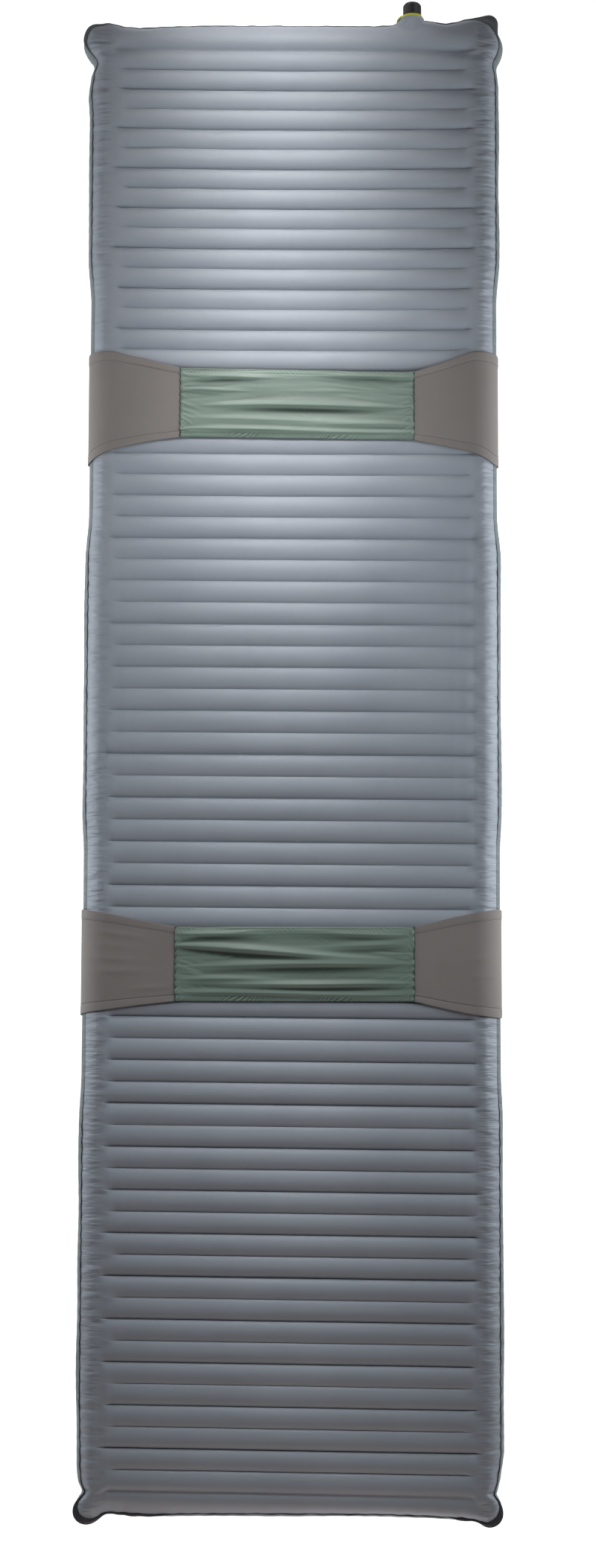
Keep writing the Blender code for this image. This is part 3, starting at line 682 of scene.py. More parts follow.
def make_rim(line, material):
    """The flat welded hem that stands out round the pad, wavy and wider at the corner lobes."""
    closed = np.concatenate([line, line[:1]])
    run = np.concatenate([[0], np.cumsum(np.linalg.norm(np.diff(closed, axis=0), axis=1))])
    even = np.linspace(0, run[-1], RIM_POINTS, endpoint=False)
    path = np.stack([np.interp(even, run, closed[:, k]) for k in range(3)], -1)
    for _ in range(2):
        path = (np.roll(path, 1, 0) + 2 * path + np.roll(path, -1, 0)) / 4
    ahead = np.roll(path, -1, 0) - np.roll(path, 1, 0)
    ahead /= np.linalg.norm(ahead, axis=1, keepdims=True)
    out = np.cross(ahead, (0, 0, 1.0))
    out /= np.linalg.norm(out, axis=1, keepdims=True)
    turns = 2 * math.pi * even / run[-1]
    wave = np.sin(61 * turns) + np.sin(143 * turns + 1) + np.sin(257 * turns + 2)
    width = RIM_WIDTH + 0.00016 * wave
    extra = np.zeros(RIM_POINTS)
    for x, y, reach, more in RIM_SPOTS:
        extra += more * bump(np.hypot(path[:, 0] - x, path[:, 1] - y) / reach)
    zone, _ = strap_zone(path[:, 1])
    width = width * (1 - 0.85 * zone) + extra
    lean = np.radians(24) * (1 - smooth(extra / 0.004))
    way = out * np.cos(lean)[:, None] + np.array([0, 0, 1.0]) * np.sin(lean)[:, None]
    up = np.cross(way, ahead)
    up *= np.sign(up[:, 2:3])
    layers = []
    for share, side in ((0, 1), (0.5, 1), (1, 0.6), (1, -0.6), (0.5, -1), (0, -1)):
        reach = -RIM_INSIDE + (width + RIM_INSIDE) * share
        curl = 0.10 * extra * share * np.sin(97 * turns) - 0.10 * extra * share
        layers.append(path + way * reach[:, None] + up * (0.0003 * side + curl)[:, None])
    points = np.stack(layers, 1).reshape(-1, 3)
    faces = grid_faces(RIM_POINTS, len(layers), close_rows=True, close_columns=True)
    obj = mesh_object("weld_rim", points, faces, material)
    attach(obj, "pad")
    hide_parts("edge_weld")


# Valve


VALVE_COLUMNS = 96
KNOB_COLUMNS = 24 * 12
KNOB_RIBS = 24
NECK_ROWS = 40
NECK_RADIUS = 0.0149
NECK_CLOTH = 0.0005
VENT_RADIUS = 0.0068


def around_valve(radius, turn, y):
    """Points at a radius and a turn about the valve's axis."""
    return np.stack([VALVE.x + radius * np.cos(turn), y, VALVE.z + radius * np.sin(turn)], -1)


def rounded(profile, size, steps=3):
    """A closed profile with each corner turned into a small curve."""
    profile = np.array(profile, float)
    result = []
    for before, corner, after in zip(np.roll(profile, 1, 0), profile, np.roll(profile, -1, 0)):
        arms = []
        for end in (before, after):
            length = np.linalg.norm(end - corner)
            arms.append(corner + (end - corner) * min(size, 0.4 * length) / length)
        for t in np.linspace(0, 1, steps + 1):
            result.append((1 - t) ** 2 * arms[0] + 2 * t * (1 - t) * corner + t**2 * arms[1])
    return np.array(result)


def make_neck(material):
    """The cloth sleeve round the valve's base: it flares into the pad, with wrinkles and a rolled hem."""
    end = neck_high.y + 0.0013
    y = np.linspace(neck_low.y, end, NECK_ROWS)[:, None]
    turn = np.linspace(0, 2 * math.pi, VALVE_COLUMNS, endpoint=False)[None, :]
    away = end - 0.0011 - y
    flare = np.minimum(22.6 * np.maximum(away, 0) ** 1.5, 0.035)
    hem = smooth((y - end + 0.0026) / 0.0010)
    half_width = NECK_RADIUS + flare
    half_height = 0.0134 + 0.0014 * hem - 0.0006 * smooth(away / 0.02)
    fall = 1 + 5 * flare / 0.035
    rise = np.sign(np.sin(turn)) * np.abs(np.sin(turn)) ** fall
    folds = np.sin(13 * turn + 60 * away) + 0.6 * np.sin(22 * turn - 90 * away + 1)
    fold_size = 0.00035 * smooth(away / 0.004) * (1 - smooth((away - 0.014) / 0.008))
    layers = []
    for inside in (0.0, NECK_CLOTH):
        x = VALVE.x + (half_width - inside) * np.cos(turn)
        z = VALVE.z + (half_height - inside + fold_size * folds) * rise
        layers.append(np.stack([x, y + 0 * turn, z], -1))
    rows = np.concatenate([layers[0], layers[1][::-1]])
    faces = grid_faces(2 * NECK_ROWS, VALVE_COLUMNS, close_rows=True, close_columns=True)
    obj = mesh_object("valve_sleeve", rows.reshape(-1, 3), faces, material)
    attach(obj, "pad")
    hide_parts("valve_neck")


def make_knob(material):
    """The ribbed twist cap: round shoulder, four vents in its top, and the hole for the stem."""
    y0, y1 = knob_low.y, knob_high.y
    skirt = 0.0107
    corners = [
        (0.0100, y0), (skirt, y0), (skirt, y0 + 0.0030), (skirt, (y0 + y1) / 2), (skirt, y1 - 0.0034),
        (skirt - 0.0004, y1 - 0.0014), (skirt - 0.0016, y1 - 0.0003), (0.0090, y1),
    ]
    top = [(r, y1) for r in np.linspace(0.0085, 0.0033, 16)]
    inner = [(0.0029, y1), (0.0029, y1 - 0.0020), (0.0096, y1 - 0.0020), (0.0096, y0)]
    profile = rounded(corners + top + inner, 0.0004)
    turn = np.linspace(0, 2 * math.pi, KNOB_COLUMNS, endpoint=False)[None, :]
    radius, y = profile[:, :1], profile[:, 1:]
    on_skirt = smooth((radius - 0.0104) / 0.0002) * smooth((y - y0 - 0.0006) / 0.0005)
    on_skirt = on_skirt * (1 - smooth((y - y1 + 0.0030) / 0.0012))
    ribs = 0.00075 * (0.5 + 0.5 * np.cos(KNOB_RIBS * turn)) ** 0.7 * on_skirt
    sunk = np.zeros_like(ribs)
    for i in range(4):
        angle = math.pi / 4 + i * math.pi / 2
        spot = (VENT_RADIUS * math.cos(angle), VENT_RADIUS * math.sin(angle))
        away = np.hypot(radius * np.cos(turn) - spot[0], radius * np.sin(turn) - spot[1])
        sunk = np.maximum(sunk, 0.0011 * smooth((0.0014 - away) / 0.0005))
    on_top = (y > y1 - 0.0001).astype(float)
    points = around_valve(radius + ribs, turn, y - sunk * on_top)
    faces = grid_faces(len(profile), KNOB_COLUMNS, close_rows=True, close_columns=True)
    obj = mesh_object("ribbed_knob", points.reshape(-1, 3), faces, material)
    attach(obj, frame["nodes"]["valve_knob"]["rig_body"])
    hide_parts("valve_knob")


def make_ring(material):
    """The locking ring, with a finger tab that sweeps back along the neck."""
    y0, y1 = ring_low.y, ring_high.y
    bore, rim = 0.0097, 0.0130
    profile = rounded([(bore, y0), (rim, y0), (rim, (y0 + y1) / 2), (rim, y1), (bore, y1)], 0.0006)
    turn = np.linspace(0, 2 * math.pi, 2 * VALVE_COLUMNS, endpoint=False)[None, :]
    radius, y = profile[:, :1], profile[:, 1:]
    share = np.clip((radius - bore) / (rim - bore), 0, 1)
    away = np.abs(turn - math.pi)
    tab = 0.0064 * (1 - smooth((away - 0.20) / 0.16)) * share**2
    reach = radius + tab
    swept = 1.15 * np.maximum(reach - 0.0155, 0)
    thinner = 1 - 0.35 * smooth(tab / 0.005)
    middle = (y0 + y1) / 2
    points = around_valve(reach, turn, middle + (y - middle) * thinner - swept)
    grip = 0.00025 * np.sin((reach - rim) * 2 * math.pi / 0.0014) * smooth(tab / 0.003)
    points[..., 1] += grip * np.sign(y - middle)
    faces = grid_faces(len(profile), 2 * VALVE_COLUMNS, close_rows=True, close_columns=True)
    obj = mesh_object("locking_ring", points.reshape(-1, 3), faces, material)
    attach(obj, frame["nodes"]["wing_ring"]["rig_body"])
    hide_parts("wing_ring")


def make_valve(cloth):
    black = plain_material("black_ribbed_plastic", (0.022, 0.018, 0.020), 0.34)
    lime = plain_material("lime_plastic", (0.68, 0.70, 0.035), 0.38)
    grey = plain_material("grey_moulding", (0.034, 0.036, 0.039), 0.5)
    rubber = plain_material("seal_rubber_mix", (0.010, 0.010, 0.010), 0.7)
    steel = plain_material("drawn_steel", (0.55, 0.55, 0.56), 0.28, 1.0)
    film = plain_material("metallised_film", (0.62, 0.63, 0.65), 0.30, 0.8, 40.0, 0.0004)
    make_neck(cloth)
    make_knob(black)
    make_ring(lime)
    dressed = {
        grey: ("valve_base", "flap_seat", "grit_screen", "valve_barrel", "valve_plunger"),
        rubber: ("barrel_seal", "plunger_seal", "check_flap"),
        steel: ("flap_pin",),
        film: ("core_middle_film", "core_upper_web", "core_lower_web"),
    }
    for material, names in dressed.items():
        for name in names:
            for place in frame["nodes"][name].material_slots:
                place.material = material


# Straps


def resample(grid, rows, cols):
    """A finer grid through the points of a coarse one, by Catmull-Rom curves in both directions."""
    for axis, count in ((0, rows), (1, cols)):
        grid = np.moveaxis(grid, axis, 0)
        t = np.linspace(0, len(grid) - 1, count)
        i = np.clip(t.astype(int), 0, len(grid) - 2)
        f = (t - i).reshape((-1,) + (1,) * (grid.ndim - 1))
        before, after = np.maximum(i - 1, 0), np.minimum(i + 2, len(grid) - 1)
        p0, p1, p2, p3 = grid[before], grid[i], grid[i + 1], grid[after]
        curve = 2 * p1 + (p2 - p0) * f + (2 * p0 - 5 * p1 + 4 * p2 - p3) * f**2
        grid = 0.5 * (curve + (3 * p1 - p0 - 3 * p2 + p3) * f**3)
        grid = np.moveaxis(grid, 0, axis)
    return grid


def grid_normals(grid):
    """Unit normals of a grid of points, pointing to the side where rows turn into columns."""
    along = np.gradient(grid, axis=0)
    across = np.gradient(grid, axis=1)
    normal = np.cross(along, across)
    return normal / np.maximum(np.linalg.norm(normal, axis=-1, keepdims=True), 1e-12)


def cloth_slab(name, grid, thickness, material, normals=None):
    """A closed two-layer cloth: the grid is its outer face."""
    rows, cols = grid.shape[:2]
    normals = grid_normals(grid) if normals is None else normals
    inner = grid - normals * thickness
    points = np.concatenate([grid.reshape(-1, 3), inner.reshape(-1, 3)])
    outer_faces = grid_faces(rows, cols)
    inner_faces = grid_faces(rows, cols, first=rows * cols)[:, ::-1]
    rim = [np.arange(cols), np.arange(rows) * cols + cols - 1]
    rim += [np.arange(cols)[::-1] + (rows - 1) * cols, (np.arange(rows) * cols)[::-1]]
    loop = np.concatenate([part[:-1] for part in rim])
    after = np.roll(loop, -1)
    rim_faces = np.stack([after, loop, loop + rows * cols, after + rows * cols], -1)
    return mesh_object(name, points, np.concatenate([outer_faces, inner_faces, rim_faces]), material)


def tube_along(name, path, radius, material, sides=8):
    """A round cord along a path; the radius is one number or one for each point."""
    path = np.asarray(path, float)
    radius = np.broadcast_to(np.asarray(radius, float), len(path))
    ahead = np.gradient(path, axis=0)
    ahead /= np.linalg.norm(ahead, axis=1, keepdims=True)
    up = np.array([0.0, 0.0, 1.0])
    side = np.cross(ahead, up)
    side /= np.linalg.norm(side, axis=1, keepdims=True)
    over = np.cross(side, ahead)
    turn = np.linspace(0, 2 * math.pi, sides, endpoint=False)
    ring = side[:, None] * np.cos(turn)[None, :, None] + over[:, None] * np.sin(turn)[None, :, None]
    points = (path[:, None] + radius[:, None, None] * ring).reshape(-1, 3)
    faces = grid_faces(len(path), sides, close_columns=True).tolist()
    faces.append(list(range(sides))[::-1])
    faces.append([(len(path) - 1) * sides + i for i in range(sides)])
    mesh = bpy.data.meshes.new(name)
    mesh.from_pydata(points.tolist(), [], faces)
    mesh.polygons.foreach_set("use_smooth", [True] * len(mesh.polygons))
    obj = bpy.data.objects.new(name, mesh)
    bpy.context.scene.collection.objects.link(obj)
    obj.data.materials.append(material)
    return obj


# Outlines, in metres from the strap's centre: the panel's two ends and the wings' edges
PANEL_ENDS = {
    "head_strap": {"x": (-0.1390, 0.1480), "head": (0.0455, 0.0410), "foot": (-0.0410, -0.0440)},
    "foot_strap": {"x": (-0.1400, 0.1476), "head": (0.0440, 0.0447), "foot": (-0.0455, -0.0450)},
}
WING_EDGES = {
    # distances from the seam along the cloth, then the head edge and the foot edge there
    ("head_strap", -1): [(0, 0.0455, -0.0410), (0.04, 0.0560, -0.0470), (0.082, 0.0665, -0.0570),
                         (0.118, 0.0670, -0.0700), (0.15, 0.0640, -0.0690), (0.21, 0.0520, -0.0520)],
    ("head_strap", 1): [(0, 0.0410, -0.0440), (0.04, 0.0530, -0.0510), (0.080, 0.0675, -0.0590),
                        (0.112, 0.0680, -0.0720), (0.15, 0.0640, -0.0690), (0.21, 0.0520, -0.0520)],
    ("foot_strap", -1): [(0, 0.0440, -0.0455), (0.04, 0.0520, -0.0500), (0.080, 0.0600, -0.0555),
                         (0.115, 0.0655, -0.0600), (0.15, 0.0640, -0.0640), (0.21, 0.0520, -0.0520)],
    ("foot_strap", 1): [(0, 0.0447, -0.0450), (0.04, 0.0535, -0.0535), (0.080, 0.0620, -0.0610),
                        (0.112, 0.0670, -0.0645), (0.15, 0.0640, -0.0640), (0.21, 0.0520, -0.0520)],
}
# Folds of the panels: (place at the left end, at the right end, middle, half length, height, steep side)
FOLDS = {
    "head_strap": [
        (0.13, 0.11, 0.20, 0.22, 0.0034, 0.0038),
        (0.10, 0.07, 0.80, 0.26, 0.0030, 0.0036),
        (0.31, 0.33, 0.12, 0.20, 0.0022, 0.0032),
        (0.30, 0.31, 0.62, 0.30, 0.0014, 0.0060),
        (0.54, 0.52, 0.55, 0.42, 0.0046, 0.0040),
        (0.73, 0.74, 0.30, 0.42, 0.0018, 0.0050),
        (0.77, 0.78, 0.85, 0.30, 0.0022, 0.0040),
        (0.88, 0.89, 0.50, 0.90, 0.0026, 0.0034),
    ],
    "foot_strap": [
        (0.11, 0.09, 0.12, 0.26, 0.0032, 0.0036),
        (0.08, 0.10, 0.75, 0.34, 0.0024, 0.0034),
        (0.26, 0.44, 0.30, 0.42, 0.0048, 0.0046),
        (0.30, 0.24, 0.86, 0.26, 0.0028, 0.0048),
        (0.52, 0.50, 0.55, 0.50, 0.0042, 0.0046),
        (0.70, 0.70, 0.15, 0.22, 0.0024, 0.0036),
        (0.76, 0.76, 0.60, 0.44, 0.0040, 0.0036),
        (0.88, 0.90, 0.50, 0.90, 0.0024, 0.0030),
    ],
}
PANEL_Z = PAD_TOP + 0.0012
PLEATS = 10
SIM_ROWS, SIM_COLS = 56, 110
PANEL_ROWS, PANEL_COLS = 116, 300
CLOTH_FRAMES = 10
CLOTH_MOVE = 0.0006
FOLD_SIZE = 1.50


def panel_height(name, u, v, width, rng):
    """Height of the gathered panel above its lowest face: long folds, and short pleats at both seams."""
    height = np.zeros_like(u)
    for left, right, middle, half, size, steep in FOLDS[name]:
        crest = left + (right - left) * u + 0.012 * np.sin(5 * u + 40 * left)
        away = (v - crest) * width
        reach = np.where(away > 0, steep, 2.1 * steep)
        along = bump((u - middle) / half) ** 1.2
        height += FOLD_SIZE * size * along * np.exp(-(np.abs(away / reach) ** 1.4))
    for end in (0.0, 1.0):
        away = np.abs(u - end) * 0.288
        phase = rng.uniform(0, 2 * math.pi)
        waves = np.cos(2 * math.pi * PLEATS * (v + 0.010 * np.sin(9 * v + phase)) + phase)
        reach = 0.013 * (1 + 0.5 * np.sin(23 * v + phase))
        height += 0.0009 * (1 + waves) * np.exp(-away / reach)
        height *= 1 - 0.55 * np.exp(-away / 0.010)
    return height


def relax_cloth(name, grid, flat, floor_z):
    """Settles a gathered cloth with the cloth solver. Its two seams are held, and it lies on the pad."""
    rows, cols = grid.shape[:2]
    obj = mesh_object(name + "_settling", grid.reshape(-1, 3), grid_faces(rows, cols), None)
    obj.shape_key_add(name="Basis")
    rest = obj.shape_key_add(name="flat")
    rest.data.foreach_set("co", flat.reshape(-1))
    held = obj.vertex_groups.new(name="held")
    ends = [r * cols + c for r in range(rows) for c in (0, cols - 1)]
    held.add(ends, 1.0, "REPLACE")
    hems = [r * cols + c for r in (0, rows - 1) for c in range(cols)]
    held.add(hems, 0.6, "REPLACE")
    held.add(ends, 1.0, "REPLACE")
    plane = [(-0.4, -1, floor_z), (0.4, -1, floor_z), (0.4, 1, floor_z), (-0.4, 1, floor_z)]
    support = mesh_object(name + "_support", plane, [(0, 1, 2, 3)], None)
    support.modifiers.new("Collision", "COLLISION")
    support.collision.thickness_outer = 0.0004
    modifier = obj.modifiers.new("Cloth", "CLOTH")
    cloth = modifier.settings
    cloth.quality = 6
    cloth.mass = 0.02
    cloth.tension_stiffness = 12
    cloth.compression_stiffness = 12
    cloth.shear_stiffness = 4
    cloth.bending_stiffness = 0.08
    cloth.air_damping = 6
    cloth.effector_weights.gravity = 0.25
    cloth.vertex_group_mass = "held"
    cloth.rest_shape_key = rest
    modifier.collision_settings.distance_min = 0.0004
    modifier.collision_settings.use_self_collision = False
    modifier.point_cache.frame_start = 1
    modifier.point_cache.frame_end = CLOTH_FRAMES
    scene = bpy.context.scene
    for step in range(1, CLOTH_FRAMES + 1):
        scene.frame_set(step)
    evaluated = obj.evaluated_get(bpy.context.evaluated_depsgraph_get())
    mesh = evaluated.to_mesh()
    points = np.empty(len(mesh.vertices) * 3, np.float32)
    mesh.vertices.foreach_get("co", points)
    evaluated.to_mesh_clear()
    scene.frame_set(1)
    for helper in (obj, support):
        data = helper.data
        bpy.data.objects.remove(helper)
        bpy.data.meshes.remove(data)
    return points.reshape(rows, cols, 3).astype(float)


def panel_frame(name, centre, rows, cols):
    """(u, v, x, y) of the panel's plan: u runs left to right, v from the head edge to the foot edge."""
    ends = PANEL_ENDS[name]
    u, v = np.meshgrid(np.linspace(0, 1, cols), np.linspace(0, 1, rows))
    x = ends["x"][0] + (ends["x"][1] - ends["x"][0]) * u
    head = ends["head"][0] + (ends["head"][1] - ends["head"][0]) * u
    foot = ends["foot"][0] + (ends["foot"][1] - ends["foot"][0]) * u
    return u, v, x, centre + head + (foot - head) * v


def ruffle(u, v):
    """Fine diagonal shirring along the two elastic hems."""
    total = np.zeros_like(u)
    for edge, slant, size in ((0.0, -1.0, 0.0003), (1.0, 1.0, 0.0006)):
        away = np.abs(v - edge)
        fade = bump((away - 0.030) / 0.040)
        wander = 6 * np.sin(11 * u + edge) + 4 * np.sin(29 * u + 2)
        phase = 2 * math.pi * (58 * u + slant * 16 * (v - edge)) + wander
        strength = 0.6 + 0.4 * np.sin(17 * u + 3 * edge)
        total += size * strength * fade * np.sin(phase)
    return total


def mark_painted_fold_shade(panel, height):
    """Stores how deep each point lies between its neighbouring folds, from 0 to 1, as painted shade for the
    cloth's colour.
    """
    reach = len(height) // 12
    padded = np.pad(height, ((reach, reach), (0, 0)), mode="edge")
    total = np.cumsum(np.vstack([np.zeros((1, height.shape[1])), padded]), axis=0)
    level = (total[2 * reach + 1:] - total[:-2 * reach - 1]) / (2 * reach + 1)
    painted_fold_shade = smooth((level - height) / FOLD_SHADE_DEPTH)
    attribute = panel.data.attributes.new("painted_fold_shade", "FLOAT", "POINT")
    copies = len(panel.data.vertices) // painted_fold_shade.size
    attribute.data.foreach_set("value", np.tile(painted_fold_shade.ravel(), copies).astype(np.float32))


def make_panel(name, centre, material, cord_material):
    """The gathered centre panel: modelled folds, settled by the cloth solver, with its two elastic cords."""
    seed = SEED + len(name) + int(abs(centre) * 1000)
    grids = []
    for rows, cols in ((SIM_ROWS, SIM_COLS), (PANEL_ROWS, PANEL_COLS)):
        rng = np.random.default_rng(seed)
        u, v, x, y = panel_frame(name, centre, rows, cols)
        height = panel_height(name, u, v, abs(y[-1, 0] - y[0, 0]), rng)
        grids.append(np.stack([x, y, PANEL_Z + height], -1))
    coarse, fine = grids
    steps = np.linalg.norm(np.diff(coarse, axis=0), axis=-1).mean(1)
    flat_width = steps.sum() * 1.03
    run = np.concatenate([[0], np.cumsum(steps)]) * 1.03
    flat_y = centre + flat_width / 2 - np.repeat(run[:, None], SIM_COLS, axis=1)
    flat = np.stack([coarse[..., 0], flat_y, np.full_like(flat_y, PANEL_Z)], -1)
    settled = relax_cloth(name, coarse, flat, PAD_TOP + 0.0006) - coarse
    length = np.maximum(np.linalg.norm(settled, axis=-1, keepdims=True), 1e-9)
    fine = fine + resample(settled * np.minimum(CLOTH_MOVE / length, 1), PANEL_ROWS, PANEL_COLS)
    fine[..., 2] += ruffle(u, v)
    inset = np.minimum(v, 1 - v)
    fine[..., 2] -= 0.0012 * bump(inset / 0.012)
    fine[..., 2] = np.maximum(fine[..., 2], PAD_TOP + 0.0007)
    panel = cloth_slab(name + "_gathered_panel", fine, 0.00035, material, -grid_normals(fine))
    # Painted shade for the hollows between the folds, stored on the panel for its colour.
    mark_painted_fold_shade(panel, fine[..., 2])
    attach(panel, name)
    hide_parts(name + "_centre_panel")
    for side, row in (("head_side", 2), ("foot_side", -3)):
        path = fine[row, 4:-4:3].copy()
        path[:, 2] = PAD_TOP + 0.0011
        cord = tube_along(name + "_cord_" + side, path, 0.0004, cord_material, 6)
        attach(cord, name)
        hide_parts(name + "_hem_cord_" + side)


def wing_section(name, count):
    """The outer face's path round the pad's side: distance, x and z at even steps from the seam."""
    seam = 0.141
    centre_x = HALF_WIDTH - STRAP_PULL[name] - RAIL_RADIUS
    reach = RAIL_RADIUS + 0.0014
    turn = np.linspace(math.pi / 2, -math.pi / 2, 60)
    drop = PAD_TOP / 2 - 0.0006
    arc_x = centre_x + reach * np.cos(turn)
    arc_z = PAD_TOP / 2 + np.where(turn > 0, reach + 0.0002, drop) * np.sin(turn)
    path_x = np.concatenate([[seam], arc_x, [0.186]])
    path_z = np.concatenate([[PANEL_Z + 0.0006], arc_z, [arc_z[-1]]])
    run = np.concatenate([[0], np.cumsum(np.hypot(np.diff(path_x), np.diff(path_z)))])
    even = np.linspace(0, run[-1], count)
    return even, np.interp(even, run, path_x), np.interp(even, run, path_z)


# How far below its neighbours' mean height a panel point lies for the full painted shade in its fold hollows.
FOLD_SHADE_DEPTH = 0.0011
HEM = 0.0095
WING_RUNS = {
    # soft wrinkles: (distance from the seam, share across, length, width, height)
    ("head_strap", -1): [(0.05, 0.32, 0.020, 0.006, 0.0003), (0.06, 0.62, 0.016, 0.005, 0.0003)],
    ("head_strap", 1): [(0.07, 0.55, 0.016, 0.006, 0.0004), (0.09, 0.30, 0.020, 0.006, 0.0003)],
    ("foot_strap", -1): [(0.070, 0.20, 0.026, 0.0040, 0.0009), (0.075, 0.33, 0.022, 0.0042, 0.0006),
                         (0.080, 0.47, 0.030, 0.0040, 0.0008), (0.070, 0.60, 0.030, 0.0045, 0.0010),
                         (0.030, 0.80, 0.020, 0.0036, 0.0008)],
    ("foot_strap", 1): [(0.090, 0.45, 0.018, 0.0045, 0.0006), (0.095, 0.62, 0.018, 0.0036, 0.0006),
                        (0.050, 0.50, 0.030, 0.0080, 0.0004)],
}


def make_wing(name, side, centre, material, thread):
    rows, cols = 96, 120
    run, path_x, path_z = wing_section(name, cols)
    table = np.array(WING_EDGES[(name, side)])
    head = np.interp(run, table[:, 0], table[:, 1])
    foot = np.interp(run, table[:, 0], table[:, 2])
    kernel = np.hanning(9) / np.hanning(9).sum()
    head = np.convolve(np.pad(head, 4, "edge"), kernel, "valid")
    foot = np.convolve(np.pad(foot, 4, "edge"), kernel, "valid")
    width = head - foot
    # Rows stand close together at both hem lines, which keeps each turned hem crisp.
    share = HEM / width.mean()
    marks = [0, 0.012, share - 0.010, share - 0.003, share + 0.003, share + 0.010]
    middle = np.linspace(share + 0.02, 0.98 - share, rows - 2 * len(marks))
    v = np.concatenate([marks, middle, 1 - np.array(marks)[::-1]])
    v, _ = np.meshgrid(v, run, indexing="ij")
    y = centre + head - width * v
    end_x = PANEL_ENDS[name]["x"][0 if side < 0 else 1]
    x = side * path_x + (end_x - side * 0.141) * np.clip(1 - run / 0.06, 0, 1)
    grid = np.stack([np.broadcast_to(x, v.shape), y, np.broadcast_to(path_z, v.shape)], -1)
    inset = np.minimum(v, 1 - v)
    normal = grid_normals(grid) * side
    lift = 0.00035 * (1 - smooth((inset - share) / 0.008 + 0.5))
    lift -= 0.00025 * bump((inset - share) / 0.006)
    for place, across, long, wide, size in WING_RUNS[(name, side)]:
        along = bump((run - place) / long)
        lift += size * along * bump((v - across) * width / wide)
    fine = grid + normal * lift[..., None]
    fine[..., 2] = np.maximum(fine[..., 2], 0.0003)
    which = "left" if side < 0 else "right"
    wing = cloth_slab(f"{name}_stretch_wing_{which}", fine, 0.0006, material, normal)
    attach(wing, name)
    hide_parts(f"{name}_wing_{which}")
    stitches = make_stitches(f"{name}_wing_{which}_stitches", fine, normal, (5, rows - 6), thread)
    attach(stitches, name)
    return wing


def make_stitches(name, grid, normal, lines, material):
    """Short thread segments along given rows of a cloth grid."""
    points, faces = [], []
    length, width, gap = 0.0022, 0.00022, 0.0034
    for row in lines:
        path, up = grid[row], normal[row]
        run = np.concatenate([[0], np.cumsum(np.linalg.norm(np.diff(path, axis=0), axis=1))])
        for start in np.arange(0.002, run[-1] * 0.97, gap):
            ends = np.array([[np.interp(start + d, run, path[:, k]) for k in range(3)] for d in (0, length)])
            out = np.array([np.interp(start, run, up[:, k]) for k in range(3)])
            ahead = ends[1] - ends[0]
            aside = np.cross(out, ahead)
            aside *= width / np.linalg.norm(aside)
            first = len(points)
            for end in ends:
                for a, b in ((-1, -0.2), (1, -0.2), (0.6, 1), (-0.6, 1)):
                    points.append(end + a * aside + b * out * width)
            for i in range(4):
                j = (i + 1) % 4
                faces.append([first + i, first + j, first + 4 + j, first + 4 + i])
            faces += [[first + 3, first + 2, first + 1, first], [first + 4, first + 5, first + 6, first + 7]]
    return mesh_object(name, np.array(points), faces, material, False)


def make_back(name, material):
    """The woven panel that closes the strap's loop under the pad."""
    low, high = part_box(name + "_back_panel")
    rows, cols = 50, 120
    y, x = np.meshgrid(np.linspace(high.y, low.y, rows), np.linspace(low.x, high.x, cols), indexing="ij")
    inset = np.minimum(y - low.y, high.y - y)
    z = 0.0004 + 0.0002 * smooth((inset - 0.010) / 0.002)
    z += 0.00012 * np.sin(x * 90 + 14 * y) * np.sin(y * 130)
    grid = np.stack([x, y, z], -1)
    back = cloth_slab(name + "_woven_back", grid, 0.0006, material, grid_normals(grid))
    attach(back, name)
    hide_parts(name + "_back_panel")


def make_seam_cord(name, side, centre, material):
    """The bound seam between the gathered panel and a wing, slightly scalloped by the pleats."""
    ends = PANEL_ENDS[name]
    end = 0 if side < 0 else 1
    t = np.linspace(0, 1, 90)
    y = centre + ends["head"][end] + (ends["foot"][end] - ends["head"][end]) * t
    x = ends["x"][end] + 0.0004 * np.sin(2 * math.pi * PLEATS * t)
    z = np.full_like(t, PANEL_Z + 0.0009) + 0.0002 * np.cos(2 * math.pi * PLEATS * t)
    radius = 0.0009 + 0.00018 * np.cos(2 * math.pi * PLEATS * t)
    hand = "left" if side < 0 else "right"
    cord = tube_along(f"{name}_seam_{hand}", np.stack([x, y, z], -1), radius, material)
    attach(cord, name)


def make_straps():
    taffeta = taffeta_fabric("panel_taffeta", (0.248, 0.330, 0.280), (0.088, 0.136, 0.110))
    stretch = stretch_fabric("wing_stretch", (0.262, 0.236, 0.224), (0.222, 0.199, 0.188))
    binding = plain_material("seam_binding", (0.055, 0.085, 0.068), 0.7)
    thread = plain_material("wing_thread", (0.080, 0.073, 0.070), 0.8)
    elastic = plain_material("hem_elastic", (0.05, 0.055, 0.05), 0.8)
    for name, (low, high) in STRAPS.items():
        centre = (low.y + high.y) / 2
        make_panel(name, centre, taffeta, elastic)
        make_back(name, taffeta)
        for side in (-1, 1):
            make_wing(name, side, centre, stretch, thread)
            make_seam_cord(name, side, centre, binding)


# Room, light and camera


def make_floor():
    material, _, shader = new_material("pale_floor")
    shader.inputs["Base Color"].default_value = (0.86, 0.86, 0.86, 1.0)
    shader.inputs["Roughness"].default_value = 0.9
    shader.inputs["Emission Color"].default_value = (1.0, 1.0, 1.0, 1.0)
    shader.inputs["Emission Strength"].default_value = FLOOR_GLOW
    size = 60.0
    corners = [(-size, -size, 0), (size, -size, 0), (size, size, 0), (-size, size, 0)]
    floor = mesh_object("floor", np.array(corners) - (0, 0, 0.0005), [(0, 1, 2, 3)], material, False)


def area_light(name, place, target, size, colour, spread=180.0):
    light = bpy.data.lights.new(name, "AREA")
    light.shape = "RECTANGLE"
    light.size, light.size_y = size
    light.energy = POWER[name]
    light.color = colour
    light.spread = math.radians(spread)
    obj = bpy.data.objects.new(name, light)
    obj.location = place
    obj.rotation_euler = (Vector(target) - Vector(place)).to_track_quat("-Z", "Y").to_euler()
    bpy.context.scene.collection.objects.link(obj)


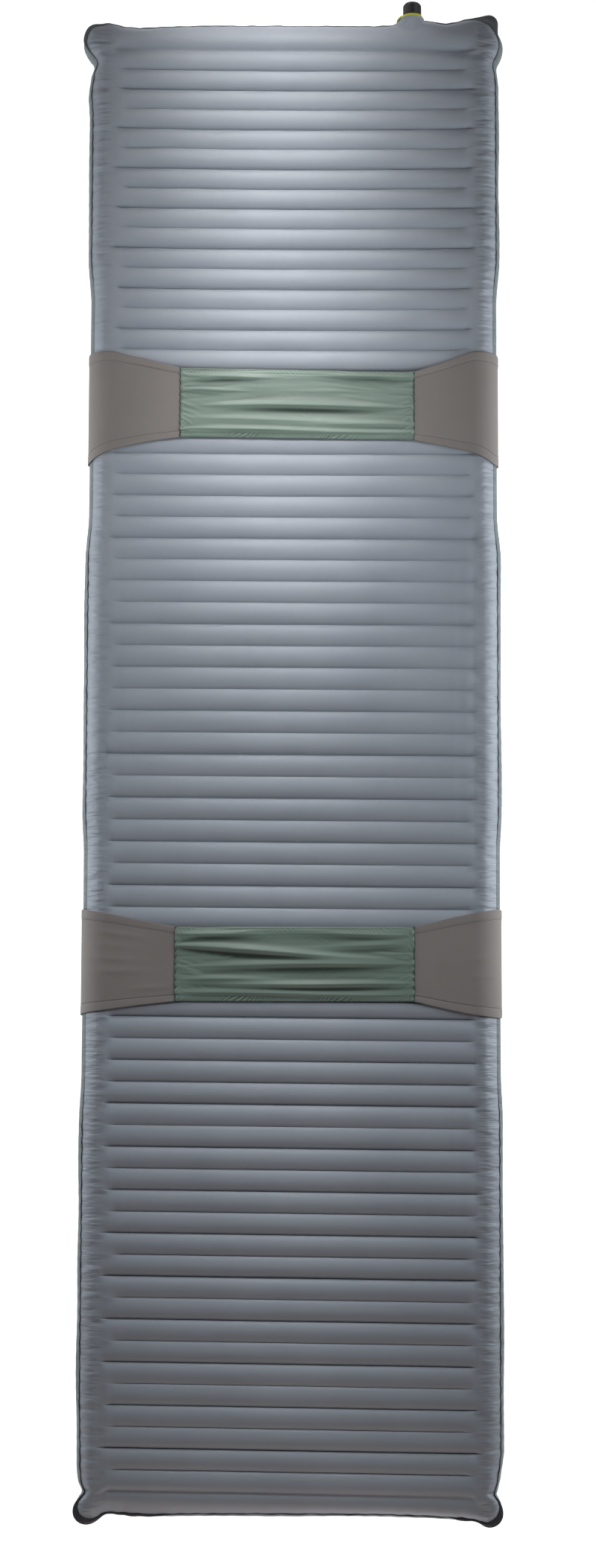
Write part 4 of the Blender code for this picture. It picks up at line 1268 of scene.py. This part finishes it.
def make_lights():
    warm, cool = (1.0, 0.985, 0.97), (0.93, 0.97, 1.0)
    area_light("near", (-0.02, 1.44, 0.98), (-0.02, 0.62, 0), (0.24, 0.7), warm, 20)
    area_light("middle", (-0.02, 1.66, 0.90), (-0.02, 0.10, 0), (0.24, 0.6), warm, 15)
    area_light("far", (-0.02, 1.50, 0.94), (-0.02, -0.60, 0), (0.20, 0.6), warm, 13)
    area_light("overhead", (0, 1.35, 2.1), (0, 0.5, 0), (1.6, 1.0), warm)
    area_light("left", (-1.1, 0.08, 0.45), (-0.2, 0.08, 0), (0.35, 0.7), cool)
    area_light("right", (1.1, 0.08, 0.45), (0.2, 0.08, 0), (0.35, 0.7), cool)
    area_light("foot", (0.0, -1.9, 0.5), (0, -0.9, 0), (0.8, 0.4), (1.0, 0.86, 0.80))
    world = bpy.data.worlds.new("studio")
    world.use_nodes = True
    tree = world.node_tree
    place = add(tree, "ShaderNodeTexCoord")
    split = add(tree, "ShaderNodeSeparateXYZ")
    ramp = add(tree, "ShaderNodeMapRange")
    ramp.inputs["From Max"].default_value = 0.8
    ramp.inputs["To Min"].default_value = SKY_RIM
    ramp.inputs["To Max"].default_value = SKY_TOP
    background = tree.nodes["Background"]
    background.inputs["Color"].default_value = (0.86, 0.93, 1.0, 1.0)
    tree.links.new(place.outputs["Generated"], split.inputs[0])
    tree.links.new(split.outputs["Z"], ramp.inputs["Value"])
    tree.links.new(ramp.outputs["Result"], background.inputs["Strength"])
    bpy.context.scene.world = world


def make_camera():
    """Looks down on the pad from 3 m, leaning a little from the foot end."""
    distance, lean, roll = 3.0, math.radians(4.994), math.radians(0.184)
    target = Vector((0.0072, -0.038, 0.0))
    camera_data = bpy.data.cameras.new("camera")
    camera_data.sensor_width = 36.0
    camera_data.lens = 55.62
    camera = bpy.data.objects.new("camera", camera_data)
    back = Vector((0, -math.sin(lean), math.cos(lean)))
    up = Vector((0, math.cos(lean), math.sin(lean)))
    right = up.cross(back)
    turn = Matrix.Rotation(roll, 3, back)
    axes = Matrix((right, up, back)).transposed()
    camera.matrix_world = Matrix.Translation(target + distance * back) @ (turn @ axes).to_4x4()
    bpy.context.scene.collection.objects.link(camera)
    bpy.context.scene.camera = camera
    bpy.context.scene.view_settings.view_transform = "Standard"


def main():
    make_camera()
    make_lights()
    make_floor()
    upper = pad_fabric("upper_fabric", (0.36, 0.39, 0.44), (0.30, 0.33, 0.38), 0.56)
    lower = pad_fabric("lower_fabric", (0.145, 0.185, 0.195), (0.110, 0.140, 0.150), 0.60)
    weld = weld_fabric("weld_cloth", (0.150, 0.160, 0.176), (0.062, 0.066, 0.074))
    line = make_sheet("upper_skin", True, upper)
    make_sheet("lower_skin", False, lower)
    make_rim(line, weld)
    make_valve(upper)
    make_straps()


main()
